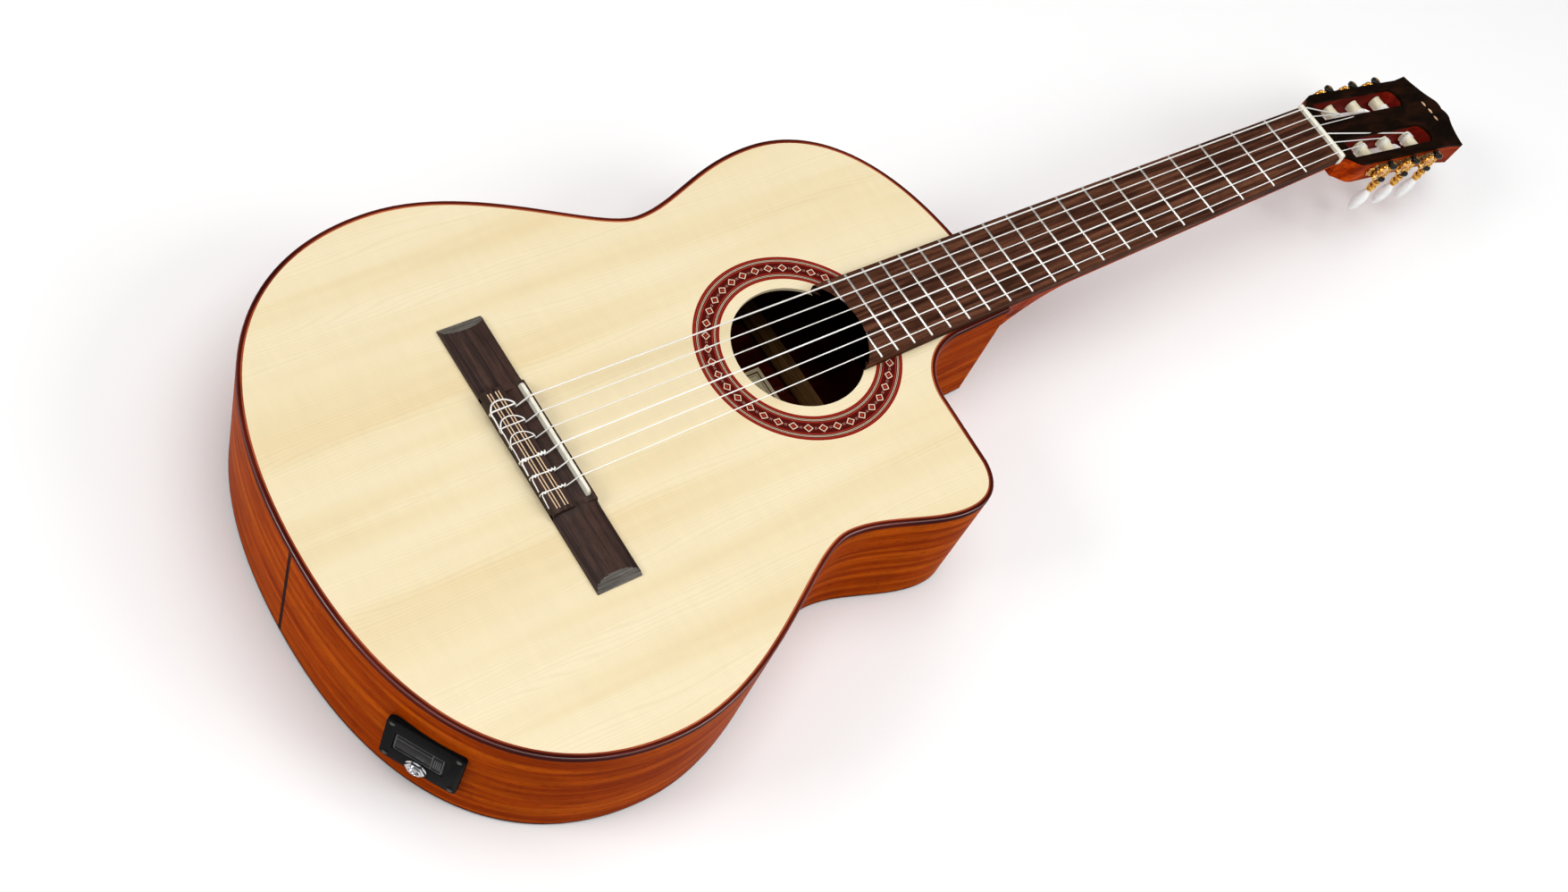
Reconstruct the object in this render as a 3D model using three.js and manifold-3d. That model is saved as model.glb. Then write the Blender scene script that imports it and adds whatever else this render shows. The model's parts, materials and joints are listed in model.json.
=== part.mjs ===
// A full-size six-string nylon guitar with a cutaway and a built-in pickup, lying on its back.
// Millimetres, +Z up. The origin lies on the back's outer face, on the centre line, under the
// saddle line. +Y points to the headstock and +X to the treble side, where the cutaway is.

import * as THREE from 'three';
import { mergeVertices } from 'three/addons/utils/BufferGeometryUtils.js';
import Module from 'manifold-3d';

const wasm = await Module();
wasm.setup();

// ---- driving dimensions ----

const SCALE_LENGTH = 650;
const FRET_COUNT = 19;
const STRING_COUNT = 6;

// Body outline: half widths at the two bouts and the waist, and where they lie along Y.
const TAIL_Y = -162.5;
const SHOULDER_Y = 327;
const LOWER_BOUT = { half: 186, y: -22 };
const WAIST = { half: 124.25, y: 131 };
const UPPER_BOUT = { half: 146.5, y: 232.5 };
// Lengths of the curve handles, in the order in which the outline runs from tail to shoulder.
const TAIL_HANDLE = 135;
const LOWER_HANDLES = [75, 68];
const WAIST_HANDLES = [28.5, 29.5];
const UPPER_HANDLES = [45, 60];
const SHOULDER_HANDLE = 90;
// Cutaway: the horn's rounded corner, its straight edge, and the hollow that rises to the neck.
const HORN = { x: 143.5, y: 212 };
const HORN_EDGE = { x: 118, y: 241.5 };
const HOLLOW_START = { x: 72, y: 243.5 };
const HOLLOW_END = { x: 33, y: 285 };
const CUTAWAY_WALL_X = 31.5;
const CUTAWAY_HANDLE = 27;
const HORN_ROUND = { rise: 18, along: 16, dip: 2 };
const HOLLOW_LEAD = 20;
// How many straight facets stand in for each curve of the outline.
const FACETS = { tail: 10, side: 8, waist: 6, shoulder: 8, horn: 6, hollow: 8, circle: 48 };

// Heights and thicknesses of the box of the body.
const TOP_Z = 98;
const PLATE_THICKNESS = 2.5;
const TOP_UNDERSIDE = TOP_Z - PLATE_THICKNESS;
const RIB_THICKNESS = 2.5;
const TOP_BINDING = { width: 2.5, height: 4 };
const BACK_BINDING = { width: 2.25, height: 3 };
const LINING = { outer: 2.55, inner: 8, height: 13 };
const GRAFT_HALF = 1.5;
const SEAM = 0.05;
const FIT_GAP = 0.3;
// How far a cutter runs past the face that it cuts.
const PAST = 1;

// Blocks, bars and paper inside the body.
const NECK_BLOCK = { left: -36, right: 27.5, start: 290 };
const TAIL_BLOCK = { half: 30, start: -158, end: -140 };
const LINING_GAP = { left: -36, right: 40, start: 285 };
const BRACE_DEPTH = { bar: 13, strut: 4 };
const SOUNDBOARD_BARS = [
  { left: -113, right: 113, start: 116, end: 123 },
  { left: -130, right: 118, start: 224, end: 231 },
];
const STRUT = { x: 58, half: 3, start: 120, end: 227 };
const FAN_PLACES = [-3, -2, -1, 0, 1, 2, 3];
const FAN = { width: 5, top: 119, topStep: 26, bottom: -100, bottomStep: 40, rise: 6 };
const BACK_BARS = [
  { y: -70, half: 158 },
  { y: 40, half: 145 },
  { y: 141, half: 113 },
  { y: 215, half: 129 },
];
const BACK_BAR = { half: 5, height: 12 };
const BACK_STRAP = { half: 10, start: -130, end: 280, height: 2 };
const LABEL = { half: 38, start: 148, end: 200, thickness: 0.5 };

const HOLE_Y = 175.5;
const HOLE_RADIUS = 43.5;
const ROSETTE = { inner: 50.5, outer: 67.5, depth: 1.25 };

const NUT_HALF_WIDTH = 25;
const JOINT_HALF_WIDTH = 30;
const FINGERBOARD_THICKNESS = 7;
const FINGERBOARD_TOP = TOP_Z + FINGERBOARD_THICKNESS;
const FINGERBOARD_END_RADIUS = 43.5;
const FINGERBOARD_CORNER_X = 31.8;
const FRET = { half: 1, height: 1, margin: 0.4, splitX: 16.3 };
const FRET_STRIP = { half: 0.5, depth: 1, lift: 0.5, sideX: 20, room: 0.2 };
const NUT = { length: 5, height: 9, half: 25.5 };
const NECK_DEPTH = { nut: 15, joint: 17 };
const HEEL = { foot: 347, length: 42, bottom: 2.75, taper: 0.6 };
const HEEL_STEPS = 10;
const HEEL_CAP = { half: 10.5, round: 8, gap: 0.25 };
const TRUSS = { z: 91.5, radius: 2.75, start: 285, end: 636, nutLength: 13, nutRadius: 3.5 };
const TRUSS_SOCKET = { radius: 2, floor: 5 };
const TRUSS_CHANNEL = { half: 3.5, depth: 10, start: 250 };

const HEAD_ANGLE = THREE.MathUtils.degToRad(14);
const HEAD_ORIGIN = new THREE.Vector3(0, SCALE_LENGTH + NUT.length + FIT_GAP, TOP_Z + 5.5);
const HEAD_THICKNESS = 20.5;
const VENEER_THICKNESS = 2;
const HEAD_HALF = 34.5;
const HEAD_TIP = { half: 36.75, y: 166.5 };
const HEAD_CREST = { bump: 6, height: 181, notch: 180 };
const HEAD_FOOT = { start: -8, straight: 3, flare: 12, full: 26, taper: 18 };
const CREST_HANDLE = { x: 20, rise: 4.5, lift: 2, reach: 3 };
const SLOT = { inner: 10, outer: 27, start: 15, end: 137, nearRamp: 14, farRamp: 12 };
const ROLLER_Y = [48.5, 83.5, 118.5];
const ROLLER_Z = -10;
const ROLLER_RADIUS = 5;
const SLEEVE_ROOM = 0.5;
const SHAFT = { radius: 2.5, room: 0.5, inner: 5.5, boreInner: 5 };
const COG = { radius: 7, x: 37.2, width: 3 };
const WORM = { radius: 2.5, half: 4.6, offset: 9.8, x: 38.7 };
const BUTTON = { top: -29, length: 24, halfY: 7.5, halfX: 4.3 };
const BUTTON_SHAFT = { radius: 1.6, top: 9.5, ferrule: 3.1 };
const TUNER_PLATE = { half: 6.5, thickness: 1.3, before: 16, after: 24 };
const LUG = { half: 3.9, low: -9, high: 5, thickness: 4, hole: 2.1 };

const BRIDGE = { half: 94, tail: -25.5, front: 3.5, wing: 4.5, block: 43, corner: 3, trough: 3 };
const SADDLE_BLOCK = { tail: -7.5, height: 6.25 };
const SADDLE = { half: 39.5, tail: -2.5, thickness: 2.5, top: 109, floor: 2.5, sideRoom: 0.1, endRoom: 0.2 };
const TIE_BLOCK = { front: -12, top: 106.5, hole: 102.5, holeRadius: 1.4 };
const SADDLE_SPREAD = 57.5;
const NUT_SPREAD = 42.5;
const TIE_LOOP = { aside: 2.2, reach: 0.4, edge: 0.2 };
const STRING_NAMES = [
  'string_6_e_low', 'string_5_a', 'string_4_d',
  'string_3_g', 'string_2_b', 'string_1_e',
];
const STRING_RADII = [0.55, 0.44, 0.38, 0.51, 0.41, 0.36];

const OUTPUT_Z = 45.5;
const OUTPUT_AT = { x: 117.5, y: -138.3 };
const OUTPUT_PLATE = { half: 24.25, halfHeight: 23.5, front: 2, back: -1.6, corner: 3 };
const OUTPUT_OPENING = { left: -19, right: 15.5, low: -22.3, high: 12.5 };
const OUTPUT_CLEARANCE = { half: 40, halfHeight: 30, depth: 75, front: 5 };
const DOOR = { left: -17.5, right: 14, low: -9.5, high: 11, thickness: 1.8 };
const SOCKET = { x: -1, y: -16.5, flange: 6.6, barrel: 4.6, bore: 3.3, proud: 3.8, depth: 30, floor: 27 };
const BATTERY_BOX = { depth: 56, wall: 1.5, sideRoom: 0.5, heightRoom: 0.3 };
const BATTERY = { inset: 2, length: 48.5 };
const PREAMP_Z = 49;
const PREAMP_AT = { x: -137, y: 196 };
const PREAMP_PANEL = { half: 32, halfHeight: 20, front: 1.8, back: -1.4, corner: 3 };
const PREAMP_OPENING = { left: -28.5, right: 28.5, low: -16.5, high: 16.5 };
const PREAMP_BOX = { half: 27, halfHeight: 15, back: -32, front: -5.4 };
const OPENING_DEPTH = 10;
const KNOB = { radius: 5.5, height: 6.5, shaft: 1.6, y: 4 };
const POINTER = { half: 0.6, length: 2.9, proud: 0.4 };
const PANEL_DRILL_ROOM = 0.6;
const KNOB_X = [-20, -4, 12];
const TUNER_BUTTON = { x: 24, y: -10, radius: 2.6, proud: 2 };

// ---- materials ----

function paint(color, roughness, metalness = 0) {
  return () => new THREE.MeshStandardMaterial({ color, roughness, metalness });
}

const spruce = paint(0xeedbb0, 0.3);
const mahogany = paint(0x9a430c, 0.3);
const innerWood = paint(0xc8a878, 0.7);
const darkTrim = paint(0x4a1d18, 0.3);
const rosewood = paint(0x4c3328, 0.45);
const ebonyVeneer = paint(0x22130e, 0.3);
const bone = paint(0xf2efe2, 0.4);
const nylonClear = paint(0xe6e6e0, 0.25);
const silverWound = paint(0xd8d8d6, 0.3, 0.8);
const nickel = paint(0xdedede, 0.25, 1);
const gold = paint(0xc99a3c, 0.25, 1);
const pearl = paint(0xe9e9ea, 0.25);
const blackPlastic = paint(0x101010, 0.35);
const steel = paint(0x9a9a9a, 0.4, 1);
const paper = paint(0xe7dcc0, 0.8);
const inlay = paint(0x7a2a1a, 0.35);

// ---- small helpers ----

const v2 = (x, y) => new THREE.Vector2(x, y);
const v3 = (x, y, z) => new THREE.Vector3(x, y, z);

function solid(geometry) {
  const bare = geometry.clone();
  bare.deleteAttribute('normal');
  bare.deleteAttribute('uv');
  const merged = mergeVertices(bare, 1e-4);
  return new wasm.Manifold(new wasm.Mesh({
    numProp: 3,
    vertProperties: new Float32Array(merged.attributes.position.array),
    triVerts: new Uint32Array(merged.index.array),
  }));
}

function geometryOf(manifold) {
  const mesh = manifold.getMesh();
  const geometry = new THREE.BufferGeometry();
  geometry.setAttribute('position', new THREE.BufferAttribute(mesh.vertProperties, 3));
  geometry.setIndex(new THREE.BufferAttribute(mesh.triVerts, 1));
  geometry.computeVertexNormals();
  return geometry;
}

function cut(geometry, ...cutters) {
  return geometryOf(cutters.reduce((body, cutter) => body.subtract(solid(cutter)), solid(geometry)));
}

function common(first, second) {
  return geometryOf(solid(first).intersect(solid(second)));
}

function join(first, ...others) {
  return geometryOf(others.reduce((body, other) => body.add(solid(other)), solid(first)));
}

function box(low, high) {
  const size = high.clone().sub(low);
  const geometry = new THREE.BoxGeometry(size.x, size.y, size.z);
  return geometry.translate((low.x + high.x) / 2, (low.y + high.y) / 2, (low.z + high.z) / 2);
}

// A plan outline, given as points or as a shape, pulled up from one height to another.
function prism(outline, low, high, holes = []) {
  const shape = Array.isArray(outline) ? new THREE.Shape(outline) : outline;
  holes.forEach((hole) => shape.holes.push(new THREE.Path(hole)));
  const settings = { depth: high - low, bevelEnabled: false, curveSegments: 5 };
  return new THREE.ExtrudeGeometry(shape, settings).translate(0, 0, low);
}

function rodAlongX(radius, start, end, y, z, sides = 12) {
  const geometry = new THREE.CylinderGeometry(radius, radius, end - start, sides);
  return geometry.rotateZ(Math.PI / 2).translate((start + end) / 2, y, z);
}

function rodAlongY(radius, start, end, x, z, sides = 12) {
  return new THREE.CylinderGeometry(radius, radius, end - start, sides).translate(x, (start + end) / 2, z);
}

function rodAlongZ(radius, start, end, x, y, sides = 12) {
  const geometry = new THREE.CylinderGeometry(radius, radius, end - start, sides);
  return geometry.rotateX(Math.PI / 2).translate(x, y, (start + end) / 2);
}

function circle(x, y, radius, count) {
  const step = (2 * Math.PI) / count;
  const point = (_, i) => v2(x + radius * Math.cos(i * step), y + radius * Math.sin(i * step));
  return Array.from({ length: count }, point);
}

function roundedRectangle(halfX, halfY, corner, x = 0, y = 0) {
  const shape = new THREE.Shape();
  shape.moveTo(x - halfX + corner, y - halfY);
  shape.lineTo(x + halfX - corner, y - halfY);
  shape.absarc(x + halfX - corner, y - halfY + corner, corner, -Math.PI / 2, 0);
  shape.lineTo(x + halfX, y + halfY - corner);
  shape.absarc(x + halfX - corner, y + halfY - corner, corner, 0, Math.PI / 2);
  shape.lineTo(x - halfX + corner, y + halfY);
  shape.absarc(x - halfX + corner, y + halfY - corner, corner, Math.PI / 2, Math.PI);
  shape.lineTo(x - halfX, y - halfY + corner);
  shape.absarc(x - halfX + corner, y - halfY + corner, corner, Math.PI, 1.5 * Math.PI);
  return shape;
}

// Points along a cubic curve, without its last point, so that curves chain into one outline.
function curvePoints(start, startHandle, endHandle, end, count) {
  const points = new THREE.CubicBezierCurve(start, startHandle, endHandle, end).getPoints(count);
  return points.slice(0, count);
}

// A route through given points whose stations are the points themselves.
class PointRoute extends THREE.Curve {
  constructor(points) {
    super();
    this.points = points;
  }

  getPoint(t, target = new THREE.Vector3()) {
    const place = t * (this.points.length - 1);
    const index = Math.min(Math.floor(place + 1e-6), this.points.length - 2);
    return target.copy(this.points[index]).lerp(this.points[index + 1], Math.max(0, place - index));
  }

  getPointAt(u, target) {
    return this.getPoint(u, target);
  }

  getTangentAt(u, target = new THREE.Vector3()) {
    const index = Math.round(u * (this.points.length - 1));
    const before = this.points[Math.max(0, index - 1)];
    const after = this.points[Math.min(this.points.length - 1, index + 1)];
    return target.copy(after).sub(before).normalize();
  }
}

function tube(points, radius, sides) {
  const section = new THREE.Shape(circle(0, 0, radius, sides));
  return new THREE.ExtrudeGeometry(section, {
    steps: points.length - 1,
    extrudePath: new PointRoute(points),
    bevelEnabled: false,
  });
}

const guitar = new THREE.Group();

function place(parent, name, geometry, material) {
  const mesh = new THREE.Mesh(geometry, material());
  mesh.name = name;
  parent.add(mesh);
  return mesh;
}

// ---- body outline ----

function lowerHalf() {
  const tail = curvePoints(
    v2(0, TAIL_Y), v2(TAIL_HANDLE, TAIL_Y),
    v2(LOWER_BOUT.half, LOWER_BOUT.y - LOWER_HANDLES[0]), v2(LOWER_BOUT.half, LOWER_BOUT.y), FACETS.tail);
  const side = curvePoints(
    v2(LOWER_BOUT.half, LOWER_BOUT.y), v2(LOWER_BOUT.half, LOWER_BOUT.y + LOWER_HANDLES[1]),
    v2(WAIST.half, WAIST.y - WAIST_HANDLES[0]), v2(WAIST.half, WAIST.y), FACETS.side);
  return [...tail, ...side];
}

function fullShoulder() {
  const side = curvePoints(
    v2(WAIST.half, WAIST.y), v2(WAIST.half, WAIST.y + WAIST_HANDLES[1]),
    v2(UPPER_BOUT.half, UPPER_BOUT.y - UPPER_HANDLES[0]), v2(UPPER_BOUT.half, UPPER_BOUT.y), FACETS.waist);
  const shoulder = curvePoints(
    v2(UPPER_BOUT.half, UPPER_BOUT.y), v2(UPPER_BOUT.half, UPPER_BOUT.y + UPPER_HANDLES[1]),
    v2(SHOULDER_HANDLE, SHOULDER_Y), v2(0, SHOULDER_Y), FACETS.shoulder);
  return [...side, ...shoulder];
}

function cutawayShoulder() {
  const side = curvePoints(
    v2(WAIST.half, WAIST.y), v2(WAIST.half, WAIST.y + CUTAWAY_HANDLE),
    v2(HORN.x, HORN.y - CUTAWAY_HANDLE), v2(HORN.x, HORN.y), FACETS.waist);
  const horn = curvePoints(
    v2(HORN.x, HORN.y), v2(HORN.x, HORN.y + HORN_ROUND.rise),
    v2(HORN_EDGE.x + HORN_ROUND.along, HORN_EDGE.y - HORN_ROUND.dip),
    v2(HORN_EDGE.x, HORN_EDGE.y), FACETS.horn);
  const hollow = curvePoints(
    v2(HOLLOW_START.x, HOLLOW_START.y), v2(HOLLOW_START.x - HOLLOW_LEAD, HOLLOW_START.y),
    v2(HOLLOW_END.x, HOLLOW_END.y - CUTAWAY_HANDLE), v2(HOLLOW_END.x, HOLLOW_END.y), FACETS.hollow);
  return [...side, ...horn, v2(HORN_EDGE.x, HORN_EDGE.y), ...hollow,
    v2(HOLLOW_END.x, HOLLOW_END.y), v2(CUTAWAY_WALL_X, SHOULDER_Y)];
}

const mirrored = (points) => points.map((p) => v2(-p.x, p.y));
const trebleHalf = [...lowerHalf(), ...cutawayShoulder()];
const bassHalf = mirrored([...lowerHalf(), ...fullShoulder()]);
const neckCentre = v2(0, SHOULDER_Y);
const outline = [...trebleHalf, neckCentre, ...bassHalf.slice(1).reverse()];
const neckIndex = trebleHalf.length;

// The outline moved inward by a distance, with mitred corners.
function inset(distance) {
  const count = outline.length;
  return outline.map((point, i) => {
    const before = point.clone().sub(outline[(i + count - 1) % count]).normalize();
    const after = outline[(i + 1) % count].clone().sub(point).normalize();
    const sum = v2(-before.y - after.y, before.x + after.x);
    return point.clone().addScaledVector(sum, distance / (1 + before.dot(after)));
  });
}

// One side of the body as a closed strip between two insets, from the tail to the neck.
function strip(outer, inner, treble) {
  const pick = (loop) => (treble ? loop.slice(0, neckIndex + 1) : [...loop.slice(neckIndex), loop[0]]);
  return [...pick(inset(outer)), ...pick(inset(inner)).reverse()];
}

function ring(outer, inner, low, high) {
  return prism(inset(outer), low, high, [inset(inner)]);
}

// The truss rod's channel, cut through whatever lies between two places along the neck.
function rodChannel(start, end, top) {
  const { half, depth } = TRUSS_CHANNEL;
  return box(v3(-half, start, TOP_Z - depth), v3(half, end, top));
}

const trussChannel = rodChannel(TRUSS_CHANNEL.start, SHOULDER_Y + PAST, TOP_UNDERSIDE);
const bindingChannel = rodChannel(TRUSS_CHANNEL.start, SHOULDER_Y + PAST, TOP_Z + PAST);
const graftChannel = box(
  v3(-GRAFT_HALF - SEAM, TAIL_Y - PAST, -PAST), v3(GRAFT_HALF + SEAM, TAIL_Y + RIB_THICKNESS + PAST, TOP_Z));

// ---- local frames of the two fittings set into the ribs ----

// X runs along the rib to the right as seen from outside, Y runs up, Z points out of the body.
function ribFrame(at, z) {
  const distances = outline.map((p) => p.distanceTo(v2(at.x, at.y)));
  const near = distances.indexOf(Math.min(...distances));
  const along = outline[near + 1].clone().sub(outline[near - 1]).normalize();
  const normal = v3(along.y, -along.x, 0);
  const group = new THREE.Group();
  const foot = v2(at.x, at.y).sub(outline[near]);
  const onWall = outline[near].clone().addScaledVector(along, foot.dot(along));
  group.position.set(onWall.x, onWall.y, z);
  const basis = new THREE.Matrix4().makeBasis(v3(along.x, along.y, 0), v3(0, 0, 1), normal);
  group.quaternion.setFromRotationMatrix(basis);
  group.updateMatrix();
  guitar.add(group);
  return group;
}

const outputFrame = ribFrame(OUTPUT_AT, OUTPUT_Z);
const preampFrame = ribFrame(PREAMP_AT, PREAMP_Z);

// A shallow seat for a panel's rim, and the opening through the rib behind the panel.
function plateRecess(panel, opening, frame) {
  const gap = FIT_GAP;
  const rim = box(
    v3(-panel.half - gap, -panel.halfHeight - gap, panel.back - gap),
    v3(panel.half + gap, panel.halfHeight + gap, panel.front + PAST));
  const through = box(v3(opening.left, opening.low, -OPENING_DEPTH), v3(opening.right, opening.high, PAST));
  return [rim, through].map((cutter) => cutter.applyMatrix4(frame.matrix));
}

// ---- body parts ----

const roundHole = (radius) => circle(0, HOLE_Y, radius, FACETS.circle);

function soundboard() {
  const plate = prism(inset(LINING.outer), TOP_UNDERSIDE, TOP_Z, [roundHole(HOLE_RADIUS)]);
  const recess = prism(
    roundHole(ROSETTE.outer + SEAM), TOP_Z - ROSETTE.depth, TOP_Z + PAST, [roundHole(ROSETTE.inner - SEAM)]);
  return cut(plate, recess);
}

function rosette() {
  return prism(roundHole(ROSETTE.outer), TOP_Z - ROSETTE.depth, TOP_Z, [roundHole(ROSETTE.inner)]);
}

function rib(treble, cutters) {
  const wall = prism(strip(0, RIB_THICKNESS, treble), BACK_BINDING.height, TOP_Z - TOP_BINDING.height);
  return cut(wall, graftChannel, trussChannel, ...cutters);
}

function buildBody() {
  place(guitar, 'soundboard', soundboard(), spruce);
  place(guitar, 'rosette', rosette(), inlay);
  place(guitar, 'back_plate', prism(inset(BACK_BINDING.width + SEAM), 0, PLATE_THICKNESS), mahogany);
  const outputCutters = plateRecess(OUTPUT_PLATE, OUTPUT_OPENING, outputFrame);
  const preampCutters = plateRecess(PREAMP_PANEL, PREAMP_OPENING, preampFrame);
  place(guitar, 'treble_rib', rib(true, outputCutters), mahogany);
  place(guitar, 'bass_rib', rib(false, preampCutters), mahogany);
  const topRing = ring(0, TOP_BINDING.width, TOP_Z - TOP_BINDING.height, TOP_Z);
  place(guitar, 'top_binding', cut(topRing, bindingChannel), darkTrim);
  place(guitar, 'back_binding', ring(0, BACK_BINDING.width, 0, BACK_BINDING.height), darkTrim);
  const graft = box(
    v3(-GRAFT_HALF, TAIL_Y, BACK_BINDING.height),
    v3(GRAFT_HALF, TAIL_Y + RIB_THICKNESS, TOP_Z - TOP_BINDING.height));
  place(guitar, 'tail_graft', graft, darkTrim);
}

// ---- inside the body ----

// A lining, left open at the neck block and around the output unit.
function liningRing(low, high) {
  const { half, halfHeight, depth, front } = OUTPUT_CLEARANCE;
  const unitClear = box(v3(-half, -halfHeight, -depth), v3(half, halfHeight, front));
  unitClear.applyMatrix4(outputFrame.matrix);
  const neckClear = box(
    v3(LINING_GAP.left, LINING_GAP.start, low - PAST), v3(LINING_GAP.right, SHOULDER_Y, high + PAST));
  return cut(ring(LINING.outer, LINING.inner, low, high), neckClear, unitClear);
}

// The neck block fills the body between the plates, as far out as the ribs allow.
function neckBlock() {
  const block = box(
    v3(NECK_BLOCK.left, NECK_BLOCK.start, PLATE_THICKNESS), v3(NECK_BLOCK.right, SHOULDER_Y, TOP_UNDERSIDE));
  const betweenRibs = prism(inset(LINING.outer), PLATE_THICKNESS, TOP_UNDERSIDE);
  return cut(common(block, betweenRibs), trussChannel);
}

// The tail block reaches the ribs between the two linings and is notched around both of them.
function tailBlock() {
  const { half, start, end } = TAIL_BLOCK;
  const block = box(v3(-half, start, PLATE_THICKNESS), v3(half, end, TOP_UNDERSIDE));
  const notches = [
    [PLATE_THICKNESS - PAST, PLATE_THICKNESS + LINING.height + FIT_GAP],
    [TOP_UNDERSIDE - LINING.height - FIT_GAP, TOP_UNDERSIDE + PAST],
  ];
  const cutters = notches.map(([low, high]) => ring(
    LINING.outer - PAST, LINING.inner + FIT_GAP, low, high));
  return cut(block, ...cutters);
}

function turnedBar(width, low, high, start, end) {
  const along = end.clone().sub(start);
  const bar = box(v3(-width / 2, 0, low), v3(width / 2, along.length(), high));
  return bar.rotateZ(Math.atan2(-along.x, along.y)).translate(start.x, start.y, 0);
}

function soundboardBraces() {
  const deep = TOP_UNDERSIDE - BRACE_DEPTH.bar;
  const shallow = TOP_UNDERSIDE - BRACE_DEPTH.strut;
  const bars = SOUNDBOARD_BARS.map(({ left, right, start, end }) => box(
    v3(left, start, deep), v3(right, end, TOP_UNDERSIDE)));
  const struts = [-STRUT.x, STRUT.x].map((x) => box(
    v3(x - STRUT.half, STRUT.start, shallow), v3(x + STRUT.half, STRUT.end, TOP_UNDERSIDE)));
  const fans = FAN_PLACES.map((place) => turnedBar(
    FAN.width, shallow, TOP_UNDERSIDE, v2(place * FAN.topStep, FAN.top),
    v2(place * FAN.bottomStep, FAN.bottom + FAN.rise * Math.abs(place))));
  return join(...bars, ...struts, ...fans);
}

function backBraces() {
  const bars = BACK_BARS.map(({ y, half }) => box(
    v3(-half, y - BACK_BAR.half, PLATE_THICKNESS),
    v3(half, y + BACK_BAR.half, PLATE_THICKNESS + BACK_BAR.height)));
  const { half, start, end, height } = BACK_STRAP;
  const strap = box(v3(-half, start, PLATE_THICKNESS), v3(half, end, PLATE_THICKNESS + height));
  return join(strap, ...bars);
}

function buildInside() {
  place(guitar, 'neck_block', neckBlock(), innerWood);
  place(guitar, 'tail_block', tailBlock(), innerWood);
  place(guitar, 'top_lining', liningRing(TOP_UNDERSIDE - LINING.height, TOP_UNDERSIDE), innerWood);
  place(guitar, 'back_lining', liningRing(PLATE_THICKNESS, PLATE_THICKNESS + LINING.height), innerWood);
  place(guitar, 'soundboard_braces', soundboardBraces(), innerWood);
  place(guitar, 'back_braces', backBraces(), innerWood);
  const labelZ = PLATE_THICKNESS + BACK_STRAP.height;
  const label = box(
    v3(-LABEL.half, LABEL.start, labelZ), v3(LABEL.half, LABEL.end, labelZ + LABEL.thickness));
  place(guitar, 'label', label, paper);
}

// ---- neck ----

function halfWidthAt(y) {
  return NUT_HALF_WIDTH + ((SCALE_LENGTH - y) * (JOINT_HALF_WIDTH - NUT_HALF_WIDTH)) / (SCALE_LENGTH / 2);
}

// How much of the heel is left at a place along the neck: 1 at its foot, then a quarter curve to 0.
function heelShare(y) {
  const s = THREE.MathUtils.clamp((y - HEEL.foot) / HEEL.length, 0, 1);
  return y <= HEEL.foot ? 1 : 1 - Math.sqrt(1 - (1 - s) ** 2);
}

// The heel and the round-backed shaft are one loft: a half disc pulled along the neck, whose
// every section is then given the depth, width and squareness of the neck at that place.
function neckShaft() {
  const start = SHOULDER_Y;
  const end = HEAD_ORIGIN.y - FIT_GAP;
  const stations = [start, (start + HEEL.foot) / 2];
  for (let i = 0; i <= HEEL_STEPS; i += 1) {
    stations.push(HEEL.foot + HEEL.length * (i / HEEL_STEPS) ** 2);
  }
  stations.push(SCALE_LENGTH - 30, end);
  const half = new THREE.Shape();
  half.absarc(0, 0, 1, Math.PI, 2 * Math.PI);
  const loft = new THREE.ExtrudeGeometry(half, {
    depth: stations.length - 1, steps: stations.length - 1, bevelEnabled: false, curveSegments: 9,
  });
  const position = loft.attributes.position;
  for (let i = 0; i < position.count; i += 1) {
    const y = stations[Math.round(position.getZ(i))];
    const share = heelShare(y);
    const angle = Math.atan2(-position.getY(i), position.getX(i));
    const power = 2 / (2 + 3 * share);
    const across = Math.sign(position.getX(i)) * Math.abs(Math.cos(angle)) ** power;
    const down = Math.abs(Math.sin(angle)) ** power;
    const along = (y - SHOULDER_Y) / (SCALE_LENGTH - SHOULDER_Y);
    const plain = THREE.MathUtils.lerp(NECK_DEPTH.joint, NECK_DEPTH.nut, along);
    const depth = THREE.MathUtils.lerp(plain, TOP_Z - HEEL.bottom, share);
    const rounded = Math.abs(position.getX(i)) < 1e-6 ? 0 : across;
    const width = halfWidthAt(y) * rounded * (1 - HEEL.taper * share * down);
    position.setXYZ(i, width, y, TOP_Z - depth * down);
  }
  loft.computeVertexNormals();
  return cut(flipped(loft), rodChannel(start - PAST, TRUSS.end + PAST, TOP_Z + PAST));
}

// Turns every face over, for a form whose mapping has changed its hand.
function flipped(geometry) {
  const plain = geometry.index ? geometry.toNonIndexed() : geometry;
  const array = plain.attributes.position.array;
  for (let i = 0; i < array.length; i += 9) {
    for (let k = 0; k < 3; k += 1) {
      const kept = array[i + 3 + k];
      array[i + 3 + k] = array[i + 6 + k];
      array[i + 6 + k] = kept;
    }
  }
  return plain;
}

function heelCap() {
  const { half, round, gap } = HEEL_CAP;
  const shape = new THREE.Shape();
  shape.moveTo(-half, SHOULDER_Y);
  shape.lineTo(half, SHOULDER_Y);
  shape.lineTo(half, HEEL.foot - round);
  shape.quadraticCurveTo(half, HEEL.foot, 0, HEEL.foot);
  shape.quadraticCurveTo(-half, HEEL.foot, -half, HEEL.foot - round);
  return prism(shape, 0, HEEL.bottom - gap);
}

const fretY = (n) => SCALE_LENGTH * 2 ** (-n / 12);

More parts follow.
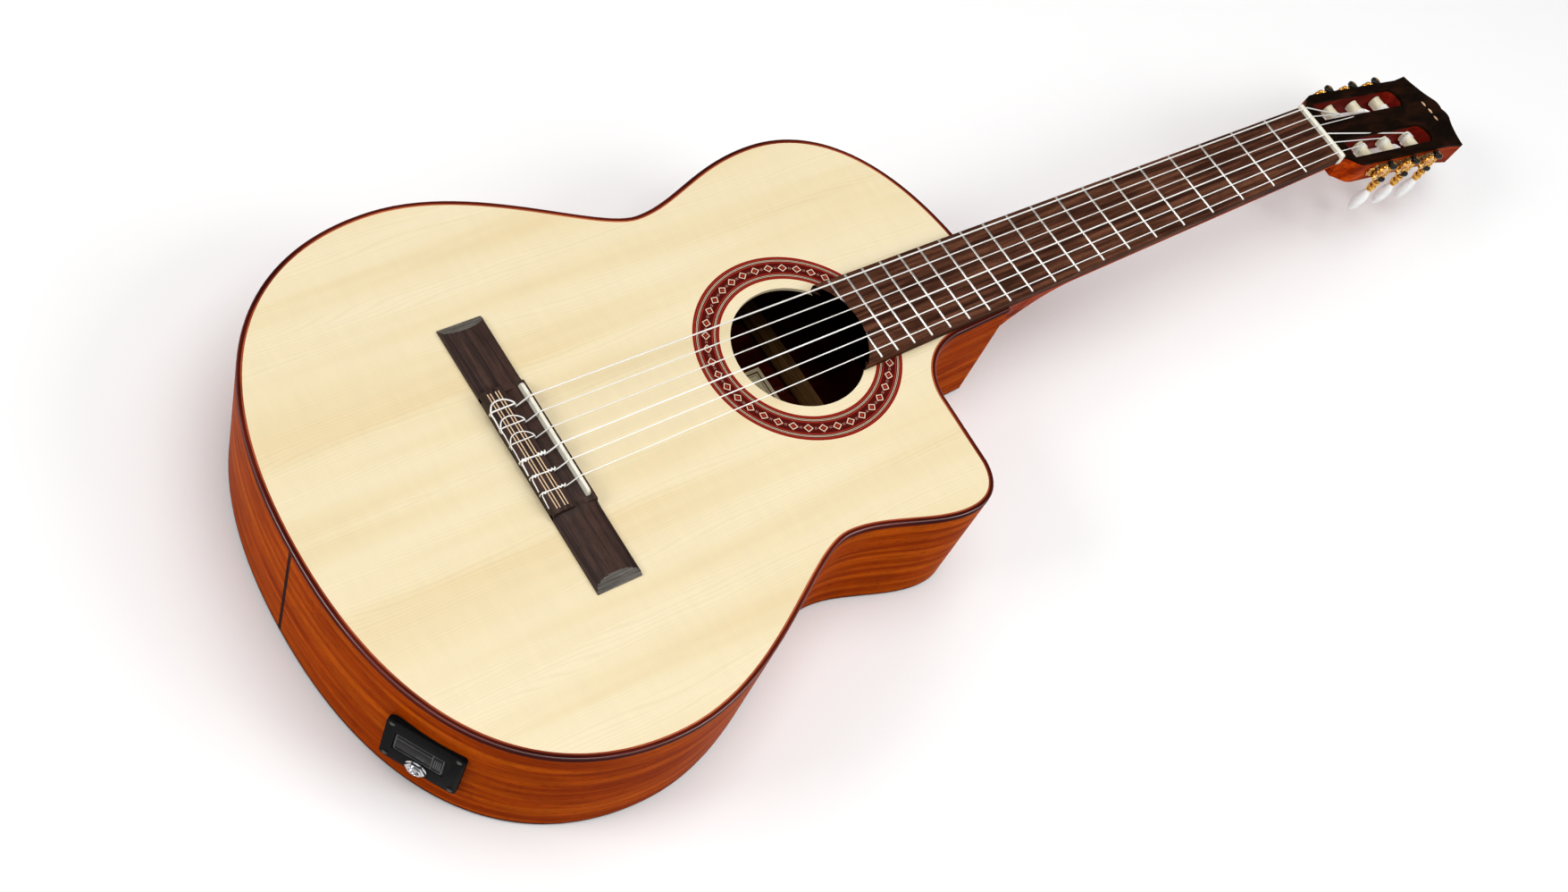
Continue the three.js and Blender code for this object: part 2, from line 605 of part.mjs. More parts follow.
function fingerboard() {
  const reach = Math.sqrt(FINGERBOARD_END_RADIUS ** 2 - FINGERBOARD_CORNER_X ** 2);
  const cornerY = HOLE_Y + reach;
  const angle = Math.atan2(reach, FINGERBOARD_CORNER_X);
  const shape = new THREE.Shape();
  shape.moveTo(-NUT_HALF_WIDTH, SCALE_LENGTH);
  shape.lineTo(-halfWidthAt(cornerY), cornerY);
  shape.absarc(0, HOLE_Y, FINGERBOARD_END_RADIUS, Math.PI - angle, angle, true);
  shape.lineTo(NUT_HALF_WIDTH, SCALE_LENGTH);
  return cut(prism(shape, TOP_Z, FINGERBOARD_TOP), ...fretStrips(FRET_STRIP.room));
}

// Thin strips let into the board, which hold the fret crowns together as one piece: one along the
// middle, and a short one on each side for the two halves of the last fret.
function fretStrips(room) {
  const { half, depth, lift, sideX } = FRET_STRIP;
  const bar = (x, start, end) => box(
    v3(x - half - room, start - room, FINGERBOARD_TOP - depth - room),
    v3(x + half + room, end + room, FINGERBOARD_TOP + lift + room));
  const last = fretY(FRET_COUNT);
  const beforeLast = fretY(FRET_COUNT - 1);
  return [bar(0, beforeLast, fretY(1)), bar(-sideX, last, beforeLast), bar(sideX, last, beforeLast)];
}

// Nineteen fret crowns; the last one is split in two by the hole.
function fretSet() {
  const crown = (left, right, y) => box(
    v3(left, y - FRET.half, FINGERBOARD_TOP), v3(right, y + FRET.half, FINGERBOARD_TOP + FRET.height));
  const crowns = [];
  for (let n = 1; n < FRET_COUNT; n += 1) {
    const half = halfWidthAt(fretY(n)) - FRET.margin;
    crowns.push(crown(-half, half, fretY(n)));
  }
  const lastY = fretY(FRET_COUNT);
  const last = halfWidthAt(lastY) - FRET.margin;
  crowns.push(crown(-last, -FRET.splitX, lastY), crown(FRET.splitX, last, lastY));
  return join(...fretStrips(0), ...crowns);
}

function buildNeck() {
  place(guitar, 'neck_shaft', neckShaft(), mahogany);
  place(guitar, 'heel_cap', heelCap(), darkTrim);
  place(guitar, 'fingerboard', fingerboard(), rosewood);
  place(guitar, 'fret_set', fretSet(), nickel);
  const nut = box(
    v3(-NUT.half, SCALE_LENGTH + SEAM, TOP_Z), v3(NUT.half, SCALE_LENGTH + NUT.length, TOP_Z + NUT.height));
  place(guitar, 'nut', nut, bone);
  place(guitar, 'truss_rod', rodAlongY(TRUSS.radius, TRUSS.start, TRUSS.end, 0, TRUSS.z, 10), steel);
  const nutEnd = TRUSS.start - FIT_GAP;
  const nutStart = nutEnd - TRUSS.nutLength;
  const socket = rodAlongY(TRUSS_SOCKET.radius, nutStart - PAST, nutEnd - TRUSS_SOCKET.floor, 0, TRUSS.z, 6);
  const driveNut = rodAlongY(TRUSS.nutRadius, nutStart, nutEnd, 0, TRUSS.z, 16);
  place(guitar, 'truss_nut', cut(driveNut, socket), steel);
}

// ---- headstock and tuners, in a frame whose XY plane is the head's face ----

const head = new THREE.Group();
head.position.copy(HEAD_ORIGIN);
head.rotation.x = -HEAD_ANGLE;
head.updateMatrix();
guitar.add(head);

function headOutline() {
  const { start, straight, flare, full, taper } = HEAD_FOOT;
  const foot = NUT_HALF_WIDTH;
  const crestX = HEAD_CREST.bump + CREST_HANDLE.reach;
  const crestHandleX = HEAD_CREST.bump - CREST_HANDLE.lift;
  const crestHandleY = HEAD_CREST.height + CREST_HANDLE.lift;
  const slopeHandleY = HEAD_TIP.y + CREST_HANDLE.rise;
  const shape = new THREE.Shape();
  shape.moveTo(-foot, start);
  shape.lineTo(foot, start);
  shape.lineTo(foot, straight);
  shape.bezierCurveTo(foot + 1, flare, HEAD_HALF, flare, HEAD_HALF, full);
  shape.lineTo(HEAD_HALF, HEAD_TIP.y - taper);
  shape.lineTo(HEAD_TIP.half, HEAD_TIP.y);
  shape.quadraticCurveTo(CREST_HANDLE.x, slopeHandleY, crestX, HEAD_CREST.height);
  shape.quadraticCurveTo(crestHandleX, crestHandleY, 0, HEAD_CREST.notch);
  shape.quadraticCurveTo(-crestHandleX, crestHandleY, -crestX, HEAD_CREST.height);
  shape.quadraticCurveTo(-CREST_HANDLE.x, slopeHandleY, -HEAD_TIP.half, HEAD_TIP.y);
  shape.lineTo(-HEAD_HALF, HEAD_TIP.y - taper);
  shape.lineTo(-HEAD_HALF, full);
  shape.bezierCurveTo(-HEAD_HALF, flare, -foot - 1, flare, -foot, straight);
  return shape;
}

// A slot's long section, with a ramp at each end, pushed across by the slot's width.
function slotCutter(side) {
  const bottom = -HEAD_THICKNESS - PAST;
  const section = new THREE.Shape([
    v2(SLOT.start, PAST), v2(SLOT.start + SLOT.nearRamp, bottom),
    v2(SLOT.end - SLOT.farRamp, bottom), v2(SLOT.end, PAST),
  ]);
  const cutter = new THREE.ExtrudeGeometry(section, { depth: SLOT.outer - SLOT.inner, bevelEnabled: false });
  cutter.rotateY(Math.PI / 2).rotateX(Math.PI / 2);
  return cutter.translate(side > 0 ? SLOT.inner : -SLOT.outer, 0, 0);
}

// Everything on the neck's side of the plane at the nut's back face, in the head's frame.
function nutSideCutter() {
  const reach = 60;
  const nutSide = box(v3(-reach, HEAD_ORIGIN.y - reach, 0), v3(reach, HEAD_ORIGIN.y, TOP_Z + reach));
  return nutSide.applyMatrix4(head.matrix.clone().invert());
}

function headPlate(low, high) {
  const slots = [-1, 1].map(slotCutter);
  const bores = [];
  for (const y of ROLLER_Y) {
    const radius = SHAFT.radius + SHAFT.room;
    bores.push(rodAlongX(radius, SHAFT.boreInner, HEAD_HALF + PAST, y, ROLLER_Z, 8));
    bores.push(rodAlongX(radius, -HEAD_HALF - PAST, -SHAFT.boreInner, y, ROLLER_Z, 8));
  }
  const reachesBores = low < ROLLER_Z && high > ROLLER_Z;
  return cut(prism(headOutline(), low, high), nutSideCutter(), ...slots, ...(reachesBores ? bores : []));
}

function tunerPlate(side) {
  const inner = HEAD_HALF + FIT_GAP;
  const { half, thickness, before, after } = TUNER_PLATE;
  const face = box(
    v3(inner, ROLLER_Y[0] - before, ROLLER_Z - half),
    v3(inner + thickness, ROLLER_Y[2] + after, ROLLER_Z + half));
  const lugs = [];
  const holes = [];
  for (const y of ROLLER_Y) {
    const wormY = y + WORM.offset;
    for (const z of [ROLLER_Z + LUG.high, ROLLER_Z + LUG.low]) {
      lugs.push(box(
        v3(inner, wormY - LUG.half, z), v3(WORM.x + LUG.half, wormY + LUG.half, z + LUG.thickness)));
    }
    const lugEnd = LUG.high + LUG.thickness + PAST;
    holes.push(rodAlongZ(LUG.hole, ROLLER_Z - lugEnd, ROLLER_Z + lugEnd, WORM.x, wormY, 8));
    holes.push(rodAlongX(SHAFT.radius + SHAFT.room, inner - PAST, inner + thickness + PAST, y, ROLLER_Z, 8));
  }
  const plate = cut(join(face, ...lugs), ...holes);
  return side > 0 ? plate : flipped(plate.applyMatrix4(new THREE.Matrix4().makeScale(-1, 1, 1)));
}

function rollerSolid() {
  const sleeve = rodAlongX(ROLLER_RADIUS, SLOT.inner + SLEEVE_ROOM, SLOT.outer - SLEEVE_ROOM, 0, 0, 12);
  const shaft = rodAlongX(SHAFT.radius, SHAFT.inner, COG.x + COG.width + 1, 0, 0, 8);
  const cog = rodAlongX(COG.radius, COG.x, COG.x + COG.width, 0, 0, 12);
  return join(sleeve, shaft, cog);
}

function buttonSolid() {
  const top = BUTTON.top - ROLLER_Z;
  const shaft = rodAlongZ(BUTTON_SHAFT.radius, top - 2, BUTTON_SHAFT.top, 0, 0, 8);
  const worm = rodAlongZ(WORM.radius, -WORM.half, WORM.half, 0, 0, 8);
  const ferrule = rodAlongZ(BUTTON_SHAFT.ferrule, top - 1, -BUTTON_SHAFT.top, 0, 0, 8);
  const grip = new THREE.SphereGeometry(1, 10, 7).rotateX(Math.PI / 2);
  grip.scale(BUTTON.halfX, BUTTON.halfY, BUTTON.length / 2);
  grip.translate(0, 0, top - BUTTON.length / 2 + SLEEVE_ROOM);
  return join(grip, shaft, worm, ferrule);
}

function buildHead() {
  place(head, 'headstock', headPlate(-HEAD_THICKNESS, -VENEER_THICKNESS - FIT_GAP / 3), mahogany);
  place(head, 'head_veneer', headPlate(-VENEER_THICKNESS, 0), ebonyVeneer);
  for (const [side, word] of [[1, 'treble'], [-1, 'bass']]) {
    place(head, `tuner_plate_${word}`, tunerPlate(side), gold);
    ROLLER_Y.forEach((y, i) => {
      const label = `${word}_${i + 1}`;
      const roller = place(head, `roller_${label}`, rollerSolid(), bone);
      roller.position.set(0, y, ROLLER_Z);
      roller.rotation.y = side > 0 ? 0 : Math.PI;
      const button = place(head, `tuner_button_${label}`, buttonSolid(), pearl);
      button.position.set(side * WORM.x, y + WORM.offset, ROLLER_Z);
    });
  }
}

// ---- bridge ----

function bridge() {
  const middle = (BRIDGE.tail + BRIDGE.front) / 2;
  const halfDepth = (BRIDGE.front - BRIDGE.tail) / 2;
  const plan = roundedRectangle(BRIDGE.half, halfDepth, BRIDGE.corner, 0, middle);
  const wings = prism(plan, TOP_Z, TOP_Z + BRIDGE.wing);
  const root = TOP_Z + 1;
  const above = TIE_BLOCK.top + PAST;
  const tieBlock = box(
    v3(-BRIDGE.block, BRIDGE.tail, root), v3(BRIDGE.block, TIE_BLOCK.front, TIE_BLOCK.top));
  const saddleBlock = box(
    v3(-BRIDGE.block, SADDLE_BLOCK.tail, root), v3(BRIDGE.block, BRIDGE.front, TOP_Z + SADDLE_BLOCK.height));
  const slot = box(
    v3(-SADDLE.half - SADDLE.endRoom, SADDLE.tail - SADDLE.sideRoom, TOP_Z + SADDLE.floor),
    v3(SADDLE.half + SADDLE.endRoom, SADDLE.tail + SADDLE.thickness + SADDLE.sideRoom, above));
  const trough = box(
    v3(-BRIDGE.block - PAST, TIE_BLOCK.front, TOP_Z + BRIDGE.trough),
    v3(BRIDGE.block + PAST, SADDLE_BLOCK.tail, above));
  const holes = stringAcross(SADDLE_SPREAD).map((x) => rodAlongY(
    TIE_BLOCK.holeRadius, BRIDGE.tail - PAST, TIE_BLOCK.front + PAST, x, TIE_BLOCK.hole, 8));
  return cut(join(wings, tieBlock, saddleBlock), slot, trough, ...holes);
}

function stringAcross(spread) {
  return Array.from({ length: STRING_COUNT }, (_, i) => (i / (STRING_COUNT - 1) - 0.5) * spread);
}

function buildBridge() {
  place(guitar, 'bridge', bridge(), rosewood);
  const slotFloor = TOP_Z + SADDLE.floor;
  const saddleEnd = SADDLE.tail + SADDLE.thickness;
  place(guitar, 'pickup_strip', box(
    v3(-SADDLE.half, SADDLE.tail, slotFloor), v3(SADDLE.half, saddleEnd, slotFloor + 1)), steel);
  place(guitar, 'saddle', box(
    v3(-SADDLE.half, SADDLE.tail, slotFloor + 1), v3(SADDLE.half, saddleEnd, SADDLE.top)), bone);
}

// ---- strings ----

// Each string starts in its loop over the tie block, runs through the block, over the saddle and
// the nut, and down to its roller, where it ends against the roller's top.
function stringRoute(index) {
  const radius = STRING_RADII[index];
  const x = stringAcross(SADDLE_SPREAD)[index];
  const nutX = stringAcross(NUT_SPREAD)[index];
  const over = radius + FIT_GAP;
  const loopX = x - TIE_LOOP.aside;
  const rear = BRIDGE.tail - over - TIE_LOOP.reach;
  const { edge } = TIE_LOOP;
  const treble = index >= STRING_COUNT / 2;
  const order = treble ? STRING_COUNT - 1 - index : index;
  const rollerX = (treble ? 1 : -1) * (SLOT.outer + SLOT.inner) / 2;
  const target = v3(rollerX, ROLLER_Y[order], ROLLER_Z + ROLLER_RADIUS + over).applyMatrix4(head.matrix);
  const saddleTop = SADDLE.top + over;
  const saddleMiddle = SADDLE.tail + SADDLE.thickness / 2;
  const nutTop = TOP_Z + NUT.height + over;
  return [
    v3(loopX, TIE_BLOCK.front - 2, TIE_BLOCK.top + over),
    v3(loopX, BRIDGE.tail - edge, TIE_BLOCK.top + over),
    v3(loopX + 0.3, rear, TIE_BLOCK.top - 0.5),
    v3(x - 0.6, rear, TIE_BLOCK.hole + 0.8),
    v3(x, BRIDGE.tail - edge, TIE_BLOCK.hole),
    v3(x, TIE_BLOCK.front + edge, TIE_BLOCK.hole),
    v3(x, saddleMiddle - 1.6, saddleTop - edge),
    v3(x, saddleMiddle, saddleTop),
    v3(nutX, SCALE_LENGTH + NUT.length / 2, nutTop),
    v3(nutX, SCALE_LENGTH + NUT.length - 0.3, nutTop),
    target,
  ];
}

function buildStrings() {
  STRING_NAMES.forEach((name, index) => {
    const wound = index < STRING_COUNT / 2;
    const string = tube(stringRoute(index), STRING_RADII[index], 8);
    place(guitar, name, string, wound ? silverWound : nylonClear);
  });
}

// ---- output socket, battery and preamp ----

function outputPlate() {
  const { half, halfHeight, front, back, corner } = OUTPUT_PLATE;
  const doorHole = box(
    v3(DOOR.left - FIT_GAP, DOOR.low - FIT_GAP, back - PAST),
    v3(DOOR.right + FIT_GAP, DOOR.high + FIT_GAP, front + PAST));
  const socketHole = rodAlongZ(SOCKET.barrel + FIT_GAP, back - PAST, front + PAST, SOCKET.x, SOCKET.y, 16);
  return cut(prism(roundedRectangle(half, halfHeight, corner), back, front), doorHole, socketHole);
}

function jackSocket() {
  const { front } = OUTPUT_PLATE;
  const { x, y } = SOCKET;
  const flange = rodAlongZ(SOCKET.flange, front + FIT_GAP, front + SOCKET.proud, x, y, 16);
  const barrel = rodAlongZ(SOCKET.barrel, -SOCKET.depth, front + 1, x, y, 16);
  const bore = rodAlongZ(SOCKET.bore, -SOCKET.floor, front + SOCKET.proud + PAST, x, y, 16);
  return cut(join(flange, barrel), bore);
}

function buildBattery() {
  const { depth, wall, sideRoom, heightRoom } = BATTERY_BOX;
  const low = v3(DOOR.left + sideRoom, DOOR.low - heightRoom, -depth);
  const high = v3(DOOR.right - sideRoom, DOOR.high + heightRoom, OUTPUT_PLATE.back - FIT_GAP);
  const inside = box(low.clone().addScalar(wall), v3(high.x - wall, high.y - wall, high.z + PAST));
  place(outputFrame, 'battery_box', cut(box(low, high), inside), blackPlastic);
  const { inset: gap, length } = BATTERY;
  const battery = box(
    low.clone().addScalar(gap), v3(high.x - gap, high.y - gap, low.z + gap + length));
  place(outputFrame, 'battery', battery, steel);
}

function buildOutput() {
  place(outputFrame, 'output_plate', outputPlate(), blackPlastic);
  const door = new THREE.Group();
  door.position.set(DOOR.left, 0, OUTPUT_PLATE.front);
  outputFrame.add(door);
  const leaf = box(v3(0, DOOR.low, -DOOR.thickness), v3(DOOR.right - DOOR.left, DOOR.high, 0));
  place(door, 'battery_door', leaf, blackPlastic);
  place(outputFrame, 'jack_socket', jackSocket(), nickel);
  buildBattery();
}

function preampPanel() {
  const { half, halfHeight, front, back, corner } = PREAMP_PANEL;
  const drill = (radius, x, y) => rodAlongZ(radius + PANEL_DRILL_ROOM, back - PAST, front + PAST, x, y, 8);
  const holes = KNOB_X.map((x) => drill(KNOB.shaft, x, KNOB.y));
  holes.push(drill(TUNER_BUTTON.radius, TUNER_BUTTON.x, TUNER_BUTTON.y));
  return cut(prism(roundedRectangle(half, halfHeight, corner), back, front), ...holes);
}

function knobSolid() {
  const { front } = PREAMP_PANEL;
  const top = front + KNOB.height;
  const cap = rodAlongZ(KNOB.radius, front + FIT_GAP, top, 0, 0, 16);
  const shaft = rodAlongZ(KNOB.shaft, PREAMP_BOX.front + 1, front + 1, 0, 0, 8);
  const tip = KNOB.radius + POINTER.proud;
  const pointer = box(
    v3(-POINTER.half, tip - POINTER.length, top - 1), v3(POINTER.half, tip, top + POINTER.proud));
  return join(cap, shaft, pointer);
}

function buildPreamp() {
  place(preampFrame, 'preamp_panel', preampPanel(), blackPlastic);
  const { half, halfHeight, back, front } = PREAMP_BOX;
  const casing = box(v3(-half, -halfHeight, back), v3(half, halfHeight, front));
  place(preampFrame, 'preamp_box', casing, blackPlastic);
  ['volume_knob', 'bass_knob', 'treble_knob'].forEach((name, i) => {
    const knob = place(preampFrame, name, knobSolid(), blackPlastic);
    knob.position.set(KNOB_X[i], KNOB.y, 0);
  });
  const { x, y, radius, proud } = TUNER_BUTTON;
  const plunger = rodAlongZ(radius, front + 2, PREAMP_PANEL.front + proud, 0, 0, 12);
  place(preampFrame, 'tuner_push_button', plunger, blackPlastic).position.set(x, y, 0);
}

buildBody();
buildInside();
buildNeck();
buildHead();
buildBridge();
buildStrings();
buildOutput();
buildPreamp();

export default guitar;
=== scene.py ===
"""The looks of a full-size six-string nylon guitar with a cutaway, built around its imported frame.

Sizes are in millimetres in the part's frame and turned into metres by MM. The guitar lies on its
back: +Y points to the headstock, +Z out of the soundboard, +X to the treble side.
"""

import json
import math

import bmesh
import bpy
from mathutils import Matrix, Vector
from mathutils.geometry import intersect_point_line
from mathutils.kdtree import KDTree


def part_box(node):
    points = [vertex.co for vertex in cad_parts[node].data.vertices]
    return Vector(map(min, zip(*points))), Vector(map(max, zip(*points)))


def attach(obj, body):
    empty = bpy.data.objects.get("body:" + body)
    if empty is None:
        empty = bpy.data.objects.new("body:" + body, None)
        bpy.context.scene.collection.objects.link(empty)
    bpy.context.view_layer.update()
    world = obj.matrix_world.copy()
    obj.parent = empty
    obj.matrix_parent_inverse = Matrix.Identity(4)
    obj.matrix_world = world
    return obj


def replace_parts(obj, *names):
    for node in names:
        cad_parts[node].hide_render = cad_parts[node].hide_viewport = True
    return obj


MM = 0.001
ROOT = "guitar"

# ---- the frame, and what is read from it ----

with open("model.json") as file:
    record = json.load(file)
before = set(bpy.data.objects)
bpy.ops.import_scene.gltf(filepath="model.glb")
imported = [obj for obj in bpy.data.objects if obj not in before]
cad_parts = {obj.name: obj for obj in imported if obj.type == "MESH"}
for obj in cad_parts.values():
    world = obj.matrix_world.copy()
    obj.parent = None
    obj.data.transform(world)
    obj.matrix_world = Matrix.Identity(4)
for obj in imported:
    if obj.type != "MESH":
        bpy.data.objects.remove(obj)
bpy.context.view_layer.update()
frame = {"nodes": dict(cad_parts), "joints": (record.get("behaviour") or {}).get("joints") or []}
joint_of = {joint["child"]: joint for joint in frame["joints"]}

SCALE_LENGTH = 650.0
FRET_COUNT = 19
TAIL_Y, SHOULDER_Y = -162.5, 327.0
TOP_Z = 98.0
TOP_UNDERSIDE = 95.5
HOLE_Y, HOLE_RADIUS = 175.5, 43.5
ROSETTE_IN, ROSETTE_OUT = 50.5, 67.5
PLATE_THICKNESS = 2.5
BINDING_IN = 2.5
BACK_IN = 2.3
BINDING_FOOT = 94.0
PURFLING_IN = 3.5
BOARD_TOP = 105.0
NUT_HALF, JOINT_HALF = 25.0, 30.0
NUT_TOP = 107.9
STRING_RADII = [0.55, 0.44, 0.38, 0.51, 0.41, 0.36]
SADDLE_SPREAD, NUT_SPREAD = 57.5, 42.5
ROLLER_YS = [48.5, 83.5, 118.5]
ROLLER_Z = -10.0
ROLLER_RADIUS = 5.0
WORM_X, WORM_STEP = 38.7, 9.8
BUTTON_TOP, BUTTON_LENGTH = -29.0, 24.0
BUTTON_HALF_X, BUTTON_HALF_Y = 4.0, 7.5
HEAD_HALF = 34.5
HEAD_THICKNESS = 20.5


def frame_matrix(origin, x_axis, z_axis):
    """A local frame in the part's frame, in millimetres."""
    x, z = Vector(x_axis).normalized(), Vector(z_axis).normalized()
    y = z.cross(x)
    turn = Matrix((x, y, z)).transposed().to_4x4()
    return Matrix.Translation(Vector(origin)) @ turn


def head_frame():
    """The frame whose XY plane is the head's face, found from the first treble roller's axis."""
    normal = Vector(joint_of["tuner_button_treble_1"]["axis"])
    turn = frame_matrix((0, 0, 0), (1, 0, 0), normal)
    roller = Vector(joint_of["roller_treble_1"]["pos_m"]) / MM
    return Matrix.Translation(roller - turn @ Vector((0, ROLLER_YS[0], ROLLER_Z))) @ turn


def rib_frame(pivot, offset, normal):
    """A frame on the rib: X to the right as seen from outside, Z outward. The pivot is at offset."""
    along = Vector((0, 0, 1)).cross(Vector(normal))
    turn = frame_matrix((0, 0, 0), along, normal)
    return Matrix.Translation(Vector(pivot) / MM - turn @ Vector(offset)) @ turn


HEAD = head_frame()
DOOR_LEFT, DOOR_RIGHT, DOOR_LOW, DOOR_HIGH = -17.5, 14.0, -9.5, 11.0
OUTPUT_FRONT = 2.0
JACK = (-1.0, -16.5)
OUTPUT_TURN = math.radians(-59.417)
OUTPUT = rib_frame(
    joint_of["battery_door"]["pos_m"], (DOOR_LEFT, 0, OUTPUT_FRONT),
    (math.cos(OUTPUT_TURN), math.sin(OUTPUT_TURN), 0))
KNOB_XS, KNOB_Y = [-20.0, -4.0, 12.0], 4.0
PRESS_X, PRESS_Y = 24, -10
PREAMP_FRONT = 1.8
PREAMP = rib_frame(
    joint_of["volume_knob"]["pos_m"], (KNOB_XS[0], KNOB_Y, 0), joint_of["volume_knob"]["axis"])

# ---- node materials ----


def rgb(red, green, blue):
    """A screen colour, 0 to 255 each, as linear light."""
    def linear(v):
        v /= 255
        return v / 12.92 if v <= 0.04045 else ((v + 0.055) / 1.055) ** 2.4
    return linear(red), linear(green), linear(blue), 1.0


SPECULAR = 0.4


class Recipe:
    """A short way to write a node material."""

    def __init__(self, name, roughness=0.4, metallic=0.0, coat=0.0, coat_roughness=0.06, ior=1.5):
        self.material = bpy.data.materials.new(name)
        self.material.use_nodes = True
        self.nodes = self.material.node_tree.nodes
        self.links = self.material.node_tree.links
        self.shader = self.nodes["Principled BSDF"]
        constants = {"Roughness": roughness, "Metallic": metallic, "Coat Weight": coat,
                     "Coat Roughness": coat_roughness, "IOR": ior, "Specular IOR Level": SPECULAR}
        for key, value in constants.items():
            self.shader.inputs[key].default_value = value

    def feed(self, socket, value):
        if isinstance(value, bpy.types.NodeSocket):
            self.links.new(value, socket)
        else:
            socket.default_value = value

    def add(self, kind, inputs, **settings):
        node = self.nodes.new(kind)
        for key, value in settings.items():
            setattr(node, key, value)
        for key, value in inputs.items():
            self.feed(node.inputs[key], value)
        return node

    def math(self, operation, first, second=0.0, third=0.0):
        return self.add("ShaderNodeMath", {0: first, 1: second, 2: third}, operation=operation).outputs[0]

    def between(self, value, low, high):
        """1 where low < value < high, else 0."""
        above = self.math("GREATER_THAN", value, low)
        return self.math("MULTIPLY", above, self.math("LESS_THAN", value, high))

    def place(self):
        """The point in the part's frame, in millimetres, as three sockets."""
        point = self.add("ShaderNodeTexCoord", {}).outputs["Object"]
        scaled = self.add("ShaderNodeVectorMath", {0: point, "Scale": 1 / MM}, operation="SCALE")
        return self.split(scaled.outputs[0])

    def carried(self):
        """The grain coordinates carried by the mesh, in millimetres, as three sockets."""
        grain = self.add("ShaderNodeAttribute", {}, attribute_name="grain")
        return self.split(grain.outputs["Vector"])

    def split(self, vector):
        return tuple(self.add("ShaderNodeSeparateXYZ", {0: vector}).outputs)

    def vector(self, x, y, z):
        return self.add("ShaderNodeCombineXYZ", {0: x, 1: y, 2: z}).outputs[0]

    def shrunk(self, point, sizes):
        return self.vector(*[self.math("DIVIDE", p, size) for p, size in zip(point, sizes)])

    def noise(self, point, stretch, detail=3.0, distortion=0.0):
        """Noise whose features are about stretch millimetres long along each of the three sockets."""
        return self.add("ShaderNodeTexNoise", {
            "Vector": self.shrunk(point, stretch), "Scale": 1.0, "Detail": detail,
            "Distortion": distortion}).outputs["Fac"]

    def cells(self, point, size, feature):
        """A cell pattern whose cells are about size millimetres wide."""
        return self.add("ShaderNodeTexVoronoi", {
            "Vector": self.shrunk(point, (size, size, size)), "Scale": 1.0}, feature=feature)

    def ramp(self, value, stops):
        node = self.add("ShaderNodeValToRGB", {0: value})
        elements = node.color_ramp.elements
        while len(elements) < len(stops):
            elements.new(0.5)
        for element, (position, color) in zip(elements, stops):
            element.position = position
            element.color = color
        return node.outputs[0]

    def mix(self, share, first, second, blend="MIX"):
        node = self.add("ShaderNodeMix", {0: share}, data_type="RGBA", blend_type=blend)
        self.feed(node.inputs[6], first)
        self.feed(node.inputs[7], second)
        return node.outputs[2]

    def shade(self, color, share, low, high, start=0.0, end=1.0):
        """The colour multiplied by a grey that runs from low to high as share runs from start to end."""
        factor = self.add("ShaderNodeMapRange", {0: share, 1: start, 2: end, 3: low, 4: high}).outputs[0]
        gray = self.add("ShaderNodeCombineColor", {0: factor, 1: factor, 2: factor}).outputs[0]
        return self.mix(1.0, color, gray, "MULTIPLY")

    def finish(self, color, rough=None, height=None, depth=0.05):
        self.feed(self.shader.inputs["Base Color"], color)
        if rough is not None:
            low, high, share = rough
            value = self.add("ShaderNodeMapRange", {0: share, 3: low, 4: high}).outputs[0]
            self.feed(self.shader.inputs["Roughness"], value)
        if height is not None:
            bump = self.add("ShaderNodeBump", {"Height": height, "Strength": 1.0, "Distance": depth * MM})
            self.links.new(bump.outputs[0], self.shader.inputs["Normal"])
        return self.material


def along_y(recipe, mirrored=False):
    """Sockets along the grain, across it and through it, for wood whose grain runs along Y."""
    x, y, z = recipe.place()
    return y, (recipe.math("ABSOLUTE", x) if mirrored else x), z


def wood(name, dark, middle, light, grain="y", coat=0.0, figure=0.25, pores=0.5, roughness=0.35,
         scale=1.0, ior=1.3, floor=None):
    """Lacquered or oiled wood with rings, streaks, fibres, pores and a slow figure along the grain.

    The three tones are screen colours. floor is a height and a dark tone painted below it as shade.
    """
    recipe = Recipe(name, roughness=roughness, coat=coat, ior=ior)
    dark, middle, light = rgb(*dark), rgb(*middle), rgb(*light)
    if grain == "carried":
        point = recipe.carried()
    elif grain == "x":
        point = recipe.place()
    else:
        point = along_y(recipe, mirrored=grain == "matched")
    layers = [((150, 7, 7), 4.0, 0.4), ((46, 1.9, 1.9), 3.0, 0.2), ((22, 0.55, 0.55), 3.0, 0.0),
              ((26, 12, 30), 1.5, 0.8), ((6, 0.6, 0.6), 1.0, 0.0)]
    rings, streaks, fibres, ribbon, pore = [
        recipe.noise(point, [size * scale for size in sizes], detail, distortion)
        for sizes, detail, distortion in layers]
    color = recipe.ramp(rings, [(0.38, dark), (0.5, middle), (0.64, light)])
    color = recipe.shade(color, streaks, 1 - figure, 1 + figure, 0.34, 0.66)
    color = recipe.shade(color, fibres, 1 - 0.5 * figure, 1 + 0.5 * figure, 0.3, 0.7)
    color = recipe.shade(color, ribbon, 1 - figure, 1 + figure, 0.3, 0.7)
    specks = recipe.math("MULTIPLY", recipe.between(pore, 0.0, 0.36), pores)
    color = recipe.mix(specks, color, tuple(v * 0.35 for v in dark[:3]) + (1.0,))
    # Below the floor height the colour turns to the painted shade tone.
    if floor is not None:
        height, tone = floor
        color = recipe.mix(recipe.between(recipe.place()[2], -1.0, height), color, rgb(*tone))
    return recipe.finish(color, (roughness - 0.06, roughness + 0.1, fibres), fibres, 0.02)


